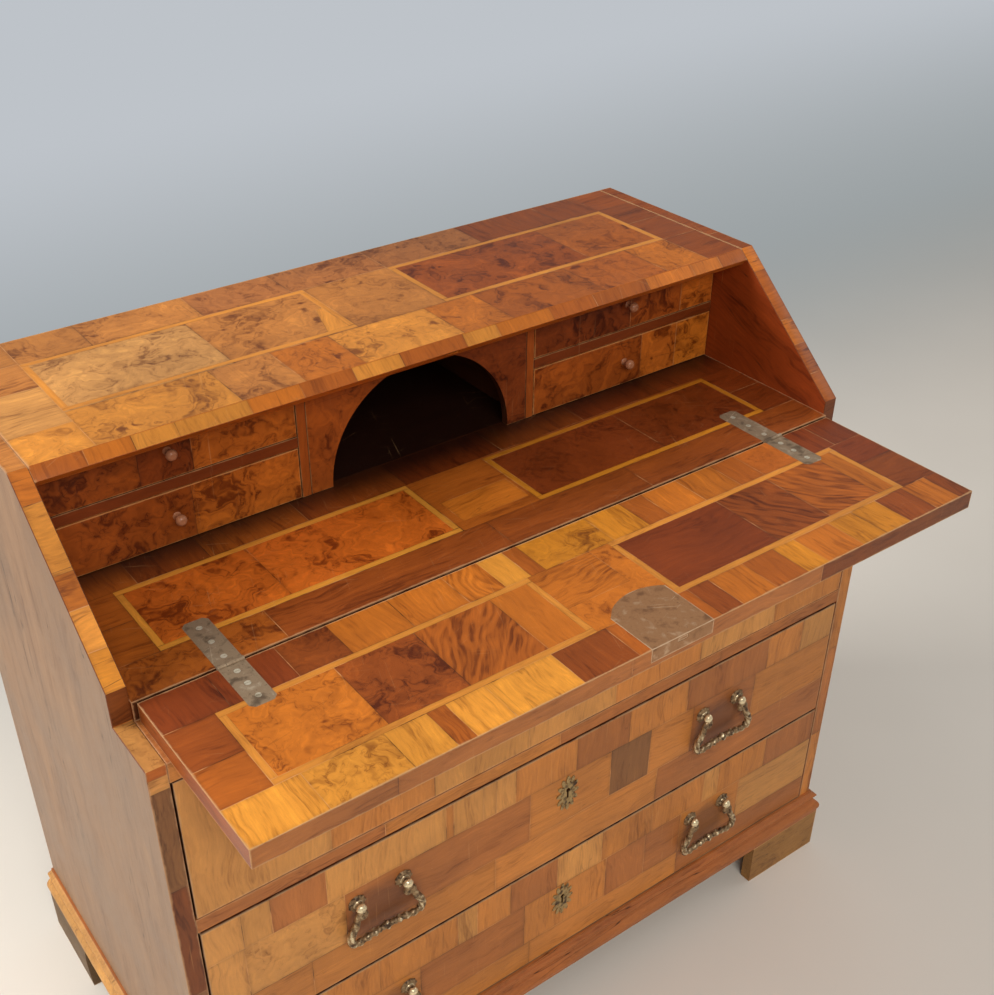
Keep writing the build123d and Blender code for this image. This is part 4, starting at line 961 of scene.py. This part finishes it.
def worked_walnut(
    name, node, along, stain, contrast=1.0, burl=0.0, gloss=0.46, worn=0.004, worn_by=0.5, cracks=0.9,
    second=None,
):
    """Solid wood worked to shape; the grain runs along x, y or z. A second stain comes in between
    two places along the case, for a piece that isn't all of one plank."""
    material, tree, shader = finish_of(name)
    here = part_of(tree, "ShaderNodeTexCoord").outputs["Object"]
    x, y, z = part_of(tree, "ShaderNodeSeparateXYZ", {0: here}).outputs
    grain = along_grain(tree, x, y, z, along)
    tone = colour_of(*stain)
    if second:
        where_from, where_to, other = second
        tone = blended(tree, ramp(tree, x, where_from, where_to), tone, colour_of(*other))
    figure = drawn(
        tree, "walnut_figure", {"Place": grain, "Stain": tone, "Burl": burl, "Contrast": contrast}
    )
    crack = drawn(tree, "season_cracks", {"Place": grain, "Amount": cracks})["Crack"]
    arris = rubbed(tree, here, node, worn)
    dust = mottle(tree, here, 7.0, 5.0, 0.6)
    wood = blended(tree, ramp(tree, dust, 0.30, 0.70, 0.0, 0.24), figure["Color"], colour_of(92, 74, 56))
    wood = blended(tree, crack, wood, colour_of(34, 18, 11))
    wood = blended(tree, sums(tree, "MULTIPLY", arris, worn_by), wood, colour_of(208, 164, 118))
    tree.links.new(wood, shader.inputs["Base Color"])
    tree.links.new(ramp(tree, dust, 0.30, 0.70, gloss - 0.04, gloss + 0.12), shader.inputs["Roughness"])
    shader.inputs["Specular IOR Level"].default_value = 0.30
    relief = sums(tree, "SUBTRACT", sums(tree, "MULTIPLY", figure["Height"], 0.6), crack)
    bumped(tree, shader, relief, 0.4, 0.0005)
    return material


def finish_node(node, material):
    """Gives a CAD piece that keeps its shape its finish."""
    for socket in nodes[node].material_slots:
        socket.material = material


for place_name in small_faces:
    node = f"small_drawer_{place_name}_knob"
    knob_polish = worked_walnut(
        f"{place_name}_knob_polish", node, "y", (172, 112, 78), contrast=0.7, gloss=0.20, worn=0.001,
        worn_by=0.4, cracks=0.0,
    )
    finish_node(node, knob_polish)

# ---------------------------------------------------------------- base moulding and feet
# The moulding goes round the front and both sides, mitred at the corners; its left return is
# a paler piece of burl. The bracket feet are sawn boards with glue blocks behind them.
moulding_wax = worked_walnut(
    "base_moulding_wax", "base_moulding", "x", (212, 152, 80), contrast=0.8, burl=0.25, worn=0.003,
    cracks=0.8, second=(-0.5335, -0.5330, (182, 106, 52)),
)
front_feet_wax = worked_walnut(
    "front_feet_wax", "front_feet", "x", (122, 100, 66), contrast=1.1, burl=0.35, gloss=0.5,
    second=(-0.2, 0.2, (166, 116, 58)),
)
rear_feet_wax = worked_walnut("rear_feet_wax", "rear_feet", "y", (112, 86, 56), burl=0.2, gloss=0.55)
finish_node("base_moulding", moulding_wax)
finish_node("front_feet", front_feet_wax)
finish_node("rear_feet", rear_feet_wax)

# ---------------------------------------------------------------- softwood
# Fir that nobody sees from the front: back boards, floor of the case, runners and the boxes of
# all the drawers. Left bare, gone brown, with dust in the grain and a knot now and then.
tree, given, made = effect(
    "fir_figure",
    [("Place", "vector", None), ("Stain", "colour", (0.4, 0.25, 0.12, 1)), ("Dirt", "number", 0.5)],
    [("Color", "colour"), ("Height", "number"), ("Dirt", "number")],
)
place = stretched(tree, given["Place"], (100, 100, 100))
x, y, z = part_of(tree, "ShaderNodeSeparateXYZ", {0: place}).outputs
wander = mottle(tree, stretched(tree, place, (0.03, 0.22, 0.22)), 1.0, 3.0, 0.5)
lines = sums(tree, "MULTIPLY_ADD", wander, 34.0, sums(tree, "MULTIPLY", sums(tree, "ADD", y, z), 5.5))
late_wood = ramp(tree, sums(tree, "SINE", lines), -0.1, 0.95)
hairs = mottle(tree, stretched(tree, place, (0.5, 20, 20)), 1.0, 3.0, 0.6)
knot = part_of(
    tree, "ShaderNodeTexVoronoi", {"Vector": stretched(tree, place, (0.035, 0.10, 0.10)), "Scale": 1.0}
).outputs["Distance"]
knot = ramp(tree, knot, 0.13, 0.06)
dirty = ramp(tree, mottle(tree, place, 0.07, 6.0, 0.62), 0.36, 0.66)
dark_line = blended(tree, 1.0, given["Stain"], (0.56, 0.44, 0.36, 1), "MULTIPLY")
wood = blended(tree, sums(tree, "MULTIPLY", late_wood, 0.55), given["Stain"], dark_line)
wood = blended(tree, ramp(tree, hairs, 0.42, 0.70, 0.0, 0.30), wood, dark_line)
wood = blended(tree, knot, wood, (0.06, 0.028, 0.012, 1))
wood = blended(tree, sums(tree, "MULTIPLY", dirty, given["Dirt"]), wood, (0.075, 0.052, 0.036, 1))
tree.links.new(wood, made["Color"])
grain_height = sums(tree, "MULTIPLY_ADD", hairs, 0.6, sums(tree, "MULTIPLY", late_wood, 0.3))
tree.links.new(grain_height, made["Height"])
tree.links.new(dirty, made["Dirt"])


def bare_fir(name, node, along, stain, dirt, painted_shade_inside=None, boards=0):
    """Bare old softwood. Along is x, y or z; "box" turns the grain to suit each side of a box.
    Faces that look forward can take a darker colour, painted shade inside the case. A count of boards draws
    their joints and gives each board its own tone and grain."""
    material, tree, shader = finish_of(name)
    seat = part_of(tree, "ShaderNodeTexCoord").outputs
    x, y, z = part_of(tree, "ShaderNodeSeparateXYZ", {0: seat["Object"]}).outputs
    facing = part_of(tree, "ShaderNodeSeparateXYZ", {0: seat["Normal"]}).outputs
    if along == "box":
        on_side = sums(tree, "GREATER_THAN", sums(tree, "ABSOLUTE", facing[0]), 0.6)
        ways = {4: along_grain(tree, x, y, z, "x"), 5: along_grain(tree, x, y, z, "y")}
        grain = part_of(tree, "ShaderNodeMix", {0: on_side, **ways}, data_type="VECTOR").outputs[1]
    else:
        grain = along_grain(tree, x, y, z, along)
    if boards:
        low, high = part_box(node)
        count = sums(tree, "MULTIPLY", sums(tree, "SUBTRACT", x, low[0]), boards / (high[0] - low[0]))
        own = part_of(
            tree, "ShaderNodeTexWhiteNoise", {"W": sums(tree, "FLOOR", count)}, noise_dimensions="1D"
        ).outputs[0]
        off = part_of(tree, "ShaderNodeCombineXYZ", {0: own, 1: sums(tree, "MULTIPLY", own, 5.0)})
        grain = part_of(
            tree, "ShaderNodeVectorMath", {0: grain, 1: off.outputs[0]}, operation="ADD"
        ).outputs[0]
        seam = sums(tree, "FRACT", sums(tree, "ADD", count, 0.5))
        seam = sums(tree, "ABSOLUTE", sums(tree, "SUBTRACT", seam, 0.5))
        seam = ramp(tree, seam, 0.0075, 0.0035)
    tone = colour_of(*stain)
    # Painted shade: faces that look forward, into the case, take the darker colour.
    if painted_shade_inside:
        forward = sums(tree, "LESS_THAN", facing[1], -0.5)
        tone = blended(tree, forward, tone, colour_of(*painted_shade_inside))
    figure = drawn(tree, "fir_figure", {"Place": grain, "Stain": tone, "Dirt": dirt})
    wood = figure["Color"]
    if boards:
        wood = blended(tree, ramp(tree, own, 0.0, 1.0, 0.0, 0.34), wood, colour_of(86, 58, 38))
        wood = blended(tree, seam, wood, colour_of(24, 15, 10))
    tree.links.new(wood, shader.inputs["Base Color"])
    tree.links.new(ramp(tree, figure["Dirt"], 0.0, 1.0, 0.62, 0.78), shader.inputs["Roughness"])
    shader.inputs["Specular IOR Level"].default_value = 0.25
    bumped(tree, shader, figure["Height"], 0.4, 0.0006)
    finish_node(node, material)


# The inner faces of the back boards are painted dark, as the shade inside the case.
bare_fir("back_fir", "back_boards", "z", (156, 116, 76), 0.38, painted_shade_inside=(58, 36, 24), boards=4)
bare_fir("floor_fir", "case_floor", "x", (158, 118, 78), 0.5)
bare_fir("runner_fir", "drawer_runners", "y", (150, 110, 70), 0.5)
for number in (1, 2, 3):
    bare_fir(f"drawer_{number}_fir", f"drawer_{number}_box", "box", (186, 142, 92), 0.3)
for place_name in small_faces:
    bare_fir(f"small_{place_name}_fir", f"small_drawer_{place_name}_box", "box", (178, 136, 88), 0.25)

# ---------------------------------------------------------------- iron
# Forged strap hinges let in flush and held by three countersunk screws a leaf, the plate lock
# of the fall with its selvedge, and the drawer locks: all file-worn, brown and pitted.


def worn_iron(name, node, steel, bright, grime, rough=0.48, worn=0.0016):
    """Old iron: brown skin in patches, pale where it is rubbed, with pits and file marks."""
    material, tree, shader = finish_of(name)
    here = part_of(tree, "ShaderNodeTexCoord").outputs["Object"]
    steel, bright, grime = (colour_of(*tone) for tone in (steel, bright, grime))
    patches = mottle(tree, here, 60.0, 6.0, 0.55, 0.3)
    pits = mottle(tree, here, 520.0, 3.0, 0.6)
    scratch = drawn(tree, "old_polish", {"Place": here, "Use": 1.0})["Scratch"]
    arris = rubbed(tree, here, node, worn)
    skin = blended(tree, ramp(tree, patches, 0.30, 0.50, 0.25, 1.0), grime, steel)
    skin = blended(tree, ramp(tree, patches, 0.55, 0.72, 0.0, 0.45), skin, bright)
    skin = blended(tree, ramp(tree, pits, 0.60, 0.72, 0.0, 0.6), skin, grime)
    skin = blended(tree, sums(tree, "MULTIPLY", scratch, 0.6), skin, bright)
    skin = blended(tree, sums(tree, "MULTIPLY", arris, 0.9), skin, bright)
    tree.links.new(skin, shader.inputs["Base Color"])
    shader.inputs["Metallic"].default_value = 0.4
    tree.links.new(ramp(tree, patches, 0.34, 0.68, rough + 0.14, rough - 0.08), shader.inputs["Roughness"])
    relief = sums(tree, "MULTIPLY_ADD", pits, -0.7, sums(tree, "MULTIPLY", patches, 0.8))
    bumped(tree, shader, relief, 0.5, 0.0007)
    finish_node(node, material)


# Each set of colours is the steel, its rubbed places and its dirt.
hinge_steel = ((158, 134, 106), (226, 208, 180), (76, 58, 42))
screw_steel = ((212, 202, 178), (240, 232, 212), (150, 134, 108))
lock_steel = ((166, 120, 80), (228, 196, 160), (112, 74, 46))
tray_steel = ((120, 100, 80), (180, 160, 132), (70, 50, 36))
bolt_steel = ((134, 116, 96), (196, 178, 150), (74, 56, 42))
worn_iron("bed_leaf_iron", "bed_hinge_leaves", *hinge_steel)
worn_iron("fall_leaf_iron", "fall_hinge_leaves", *hinge_steel)
worn_iron("hinge_pin_iron", "hinge_pins", *hinge_steel)
for node in ("bed_hinge_screws", "fall_hinge_screws"):
    worn_iron(f"{node}_iron", node, *screw_steel, rough=0.36, worn=0.0004)
worn_iron("fall_lock_iron", "fall_lock", *lock_steel, rough=0.5, worn=0.0022)
worn_iron("fall_bolt_iron", "fall_lock_bolt", *lock_steel)
for number in (1, 2, 3):
    worn_iron(f"drawer_{number}_lock_iron", f"drawer_{number}_lock", *tray_steel)
    worn_iron(f"drawer_{number}_bolt_iron", f"drawer_{number}_bolt", *bolt_steel)

# ---------------------------------------------------------------- brass
# Cast and chased handles: on each post a rosette of small leaves and a faceted head, and between
# the posts a swan-neck bail whose ends curl under the heads, with leaves, beads and a knop.


def old_brass(name, skin_tone, rubbed_tone):
    """Brass gone dark in its hollows and pale where hands and rags reach it."""
    material, tree, shader = finish_of(name)
    here = part_of(tree, "ShaderNodeTexCoord").outputs["Object"]
    high = part_of(tree, "ShaderNodeAttribute", attribute_name="high").outputs["Fac"]
    patches = mottle(tree, here, 130.0, 5.0, 0.65)
    bare = sums(tree, "ADD", sums(tree, "MULTIPLY", high, 0.55), sums(tree, "SUBTRACT", patches, 0.5))
    skin = blended(tree, ramp(tree, patches, 0.34, 0.56), colour_of(70, 50, 34), colour_of(*skin_tone))
    skin = blended(tree, ramp(tree, bare, 0.14, 0.50), skin, colour_of(*rubbed_tone))
    tree.links.new(skin, shader.inputs["Base Color"])
    shader.inputs["Metallic"].default_value = 0.55
    tree.links.new(ramp(tree, bare, 0.0, 0.45, 0.52, 0.26), shader.inputs["Roughness"])
    bumped(tree, shader, mottle(tree, here, 700.0, 3.0), 0.35, 0.0004)
    return material


handle_brass = old_brass("handle_brass", (152, 124, 88), (238, 220, 178))
plate_brass = old_brass("escutcheon_brass", (176, 148, 98), (218, 202, 163))
for number in (1, 2, 3):
    finish_node(f"drawer_{number}_escutcheon", plate_brass)
    finish_node(f"drawer_{number}_handle_posts", handle_brass)
finish_node("fall_escutcheon", plate_brass)

leaf_ring = bpy.data.node_groups.new("rosette_leaves", "GeometryNodeTree")
leaf_sizes = {}
for label, kind, value in (
    ("Leaves", "NodeSocketInt", 9),
    ("Ring Radius", "NodeSocketFloat", 0.0088),
    ("Leaf Length", "NodeSocketFloat", 0.0040),
    ("Leaf Width", "NodeSocketFloat", 0.0026),
    ("Leaf Height", "NodeSocketFloat", 0.0015),
    ("Finish", "NodeSocketMaterial", None),
):
    leaf_sizes[label] = leaf_ring.interface.new_socket(label, in_out="INPUT", socket_type=kind)
    if value is not None:
        leaf_sizes[label].default_value = value
leaf_ring.interface.new_socket("Geometry", in_out="OUTPUT", socket_type="NodeSocketGeometry")
entry = leaf_ring.nodes.new("NodeGroupInput").outputs
circle = part_of(
    leaf_ring, "GeometryNodeMeshCircle", {"Vertices": entry["Leaves"], "Radius": entry["Ring Radius"]}
)
leaf = part_of(leaf_ring, "GeometryNodeMeshUVSphere", {"Segments": 10, "Rings": 7, "Radius": 1.0})
leaf_size = part_of(
    leaf_ring, "ShaderNodeCombineXYZ",
    {0: entry["Leaf Length"], 1: entry["Leaf Width"], 2: entry["Leaf Height"]},
)
leaf = part_of(
    leaf_ring, "GeometryNodeTransform", {"Geometry": leaf.outputs["Mesh"], "Scale": leaf_size.outputs[0]}
)
outward_turn = part_of(
    leaf_ring, "FunctionNodeAlignRotationToVector",
    {"Vector": part_of(leaf_ring, "GeometryNodeInputPosition").outputs[0]}, axis="X",
)
ring_of = part_of(
    leaf_ring, "GeometryNodeInstanceOnPoints",
    {"Points": circle.outputs[0], "Instance": leaf.outputs[0], "Rotation": outward_turn.outputs[0]},
)
ring_of = part_of(leaf_ring, "GeometryNodeRealizeInstances", {"Geometry": ring_of.outputs[0]})
ring_of = part_of(
    leaf_ring, "GeometryNodeSetMaterial", {"Geometry": ring_of.outputs[0], "Material": entry["Finish"]}
)
part_of(leaf_ring, "NodeGroupOutput", {0: ring_of.outputs[0]})


def grown(tree, sizes, values):
    """The plain mesh that a geometry tree makes with the given values."""
    holder = bpy.data.objects.new("grown", bpy.data.meshes.new("grown"))
    bpy.context.scene.collection.objects.link(holder)
    modifier = holder.modifiers.new("grown", "NODES")
    modifier.node_group = tree
    for label, value in values.items():
        modifier[sizes[label].identifier] = value
    evaluated = holder.evaluated_get(bpy.context.evaluated_depsgraph_get())
    mesh = bpy.data.meshes.new_from_object(evaluated)
    bpy.data.objects.remove(holder)
    return mesh


# Boss and head of a post: how far out, radius, both in mm, and how rubbed.
head_profile = (
    (2.6, 6.2, 0.1), (4.2, 6.0, 0.7), (5.2, 4.4, 0.2), (6.4, 3.4, 0.0), (7.4, 4.2, 0.3), (8.8, 5.3, 0.6),
    (10.6, 5.9, 0.8), (12.4, 5.7, 0.9), (14.2, 4.6, 1.0), (15.6, 2.9, 0.9), (16.2, 1.2, 0.8),
)
# The head as cast is this much thicker than its profile.
head_thickness = 1.14


def skinned(bm, rings):
    """Faces between rings of points in a row, closed at both ends."""
    for lower, upper in zip(rings, rings[1:]):
        for i in range(len(lower)):
            j = (i + 1) % len(lower)
            bm.faces.new((lower[i], lower[j], upper[j], upper[i]))
    bm.faces.new(rings[0][::-1])
    bm.faces.new(rings[-1])


def turned_head(bm, high_layer, x, z, front):
    """Boss and faceted head of a post, lathe-turned and then filed, drawn out from the front."""
    rings, sides = [], 18
    for out, radius, high in head_profile:
        ring = []
        for i in range(sides):
            angle = math.tau * i / sides
            filed = 1 + 0.07 * math.cos(6 * angle) * min(1, out / 9)
            reach = head_thickness * radius * filed / 1000
            vert = bm.verts.new(
                (x + reach * math.cos(angle), front - out / 1000, z + reach * math.sin(angle))
            )
            vert[high_layer] = high
            ring.append(vert)
        rings.append(ring)
    skinned(bm, rings)


# Bends of a bail below its curl, in mm right of its middle and below the posts, and the beads and
# the knop on its bar: how far from the middle, how wide, and how much thicker than the wire.
bends = [
    (39.0, -8.0), (39.3, -10.8), (40.2, -17.5), (43.4, -26.0), (48.3, -34.5), (50.9, -43.0),
    (48.9, -50.6), (42.4, -54.3), (34.5, -53.9), (26, -52.2), (17.5, -51.1), (9, -50.5), (0, -50.2),
    (-9, -50.5),
]
beads = (
    (38, 3.6, 1.4), (27.5, 3.0, 1.6), (17.5, 2.6, 2.0), (11.2, 1.6, 1.2), (5.8, 1.1, 1.0), (0, 3.0, 2.6),
)


def bail_path():
    """Half of a bail from its curled end to the knop: place right of the middle and below the
    posts in mm, thickness of the wire, and how proud the chasing stands."""
    half = []
    curl_steps, curl_angle = 26, 410
    for i in range(curl_steps + 1):
        angle = math.radians(curl_angle - curl_angle * i / curl_steps)
        reach = 2.3 + 4.0 * i / curl_steps
        wire = 2.6 + 1.3 * i / curl_steps
        half.append((33 + reach * math.cos(angle), -10.8 + reach * math.sin(angle), wire, 0.3))
    for k in range(1, len(bends) - 2):
        p0, p1, p2, p3 = (Vector(b) for b in bends[k - 1 : k + 3])
        for i in range(1, 9):
            t = i / 8
            point = 0.5 * (
                2 * p1
                + (p2 - p0) * t
                + (2 * p0 - 5 * p1 + 4 * p2 - p3) * t**2
                + (3 * p1 - p0 - 3 * p2 + p3) * t**3
            )
            if point.y > -46 or point.x > 46:
                wire = 3.9 + 1.0 * min(1, max(0, (-point.y - 12) / 20))
            else:
                wire = 3.4
                for centre, width, rise in beads:
                    wire += rise * math.exp(-(((point.x - centre) / width) ** 2))
            half.append((point.x, point.y, wire, (wire - 3.2) / 2.6))
    return half


half_bail = bail_path()
whole_bail = [(-x, z, wire, proud) for x, z, wire, proud in half_bail[:-1]] + half_bail[::-1]
# In metres: a post from the middle of its handle, and before the face of the front the leaves of a
# rosette and the wire of a bail.
post_offset, leaf_stand, wire_stand = 0.03275, 0.0012, 0.012


def cast_brass(name, bm):
    """A smooth brass piece out of a built mesh."""
    bmesh.ops.recalc_face_normals(bm, faces=bm.faces)
    mesh = bpy.data.meshes.new(name)
    bm.to_mesh(mesh)
    bm.free()
    mesh.materials.append(handle_brass)
    for polygon in mesh.polygons:
        polygon.use_smooth = True
    cast = bpy.data.objects.new(name, mesh)
    bpy.context.scene.collection.objects.link(cast)
    return cast


def swan_neck(name, middle, face_y, post_z):
    """A bail drawn along its path, chased in four flutes that wind round the wire."""
    bm = bmesh.new()
    high_layer = bm.verts.layers.float.new("high")
    rings, sides, length = [], 16, 0.0
    for k, (x, z, wire, proud) in enumerate(whole_bail):
        before, after = whole_bail[max(0, k - 1)], whole_bail[min(len(whole_bail) - 1, k + 1)]
        along = Vector((after[0] - before[0], after[1] - before[1])).normalized()
        length += math.hypot(x - before[0], z - before[1])
        ring = []
        for i in range(sides):
            angle = math.tau * i / sides
            flute = math.cos(4 * angle + 0.5 * length)
            reach = wire * (1 + 0.10 * min(1, max(0, proud)) * flute) / 1000
            across, out = reach * math.cos(angle), reach * math.sin(angle)
            vert = bm.verts.new(
                (
                    middle + x / 1000 - along.y * across,
                    face_y - wire_stand - out,
                    post_z + z / 1000 + along.x * across,
                )
            )
            vert[high_layer] = max(0.0, proud) * (0.6 + 0.4 * flute)
            ring.append(vert)
        rings.append(ring)
    skinned(bm, rings)
    return cast_brass(name, bm)


leaves = grown(leaf_ring, leaf_sizes, {"Leaves": 9, "Finish": handle_brass})
leaves.transform(Matrix.Rotation(math.radians(90), 4, "X"))
for number in (1, 2, 3):
    low, high = (Vector(c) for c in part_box(f"drawer_{number}_handle_posts"))
    post_z = (low.z + high.z) / 2
    face_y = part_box(f"drawer_{number}_front")[0][1]
    dressing = bmesh.new()
    high_layer = dressing.verts.layers.float.new("high")
    for hand in (-1, 1):
        for post in (-1, 1):
            x = hand * handle_offset + post * post_offset
            before = len(dressing.verts)
            dressing.from_mesh(leaves)
            dressing.verts.ensure_lookup_table()
            for vert in dressing.verts[before:]:
                # The leaves stay low on this scale and show dark: patina in their hollows, and painted
                # shade under the heads.
                vert[high_layer] = 0.2 * min(1, max(0, -vert.co.y / 0.002))
                vert.co += Vector((x, face_y - leaf_stand, post_z))
            turned_head(dressing, high_layer, x, post_z, face_y)
    rosettes = cast_brass(f"drawer_{number}_rosettes", dressing)
    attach(rosettes, f"drawer_{number}")
    for hand_name, hand in (("left", -1), ("right", 1)):
        swan = swan_neck(f"drawer_{number}_{hand_name}_bail", hand * handle_offset, face_y, post_z)
        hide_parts(f"drawer_{number}_bail_{hand_name}")
        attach(swan, f"drawer_{number}_bail_{hand_name}")

low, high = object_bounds()
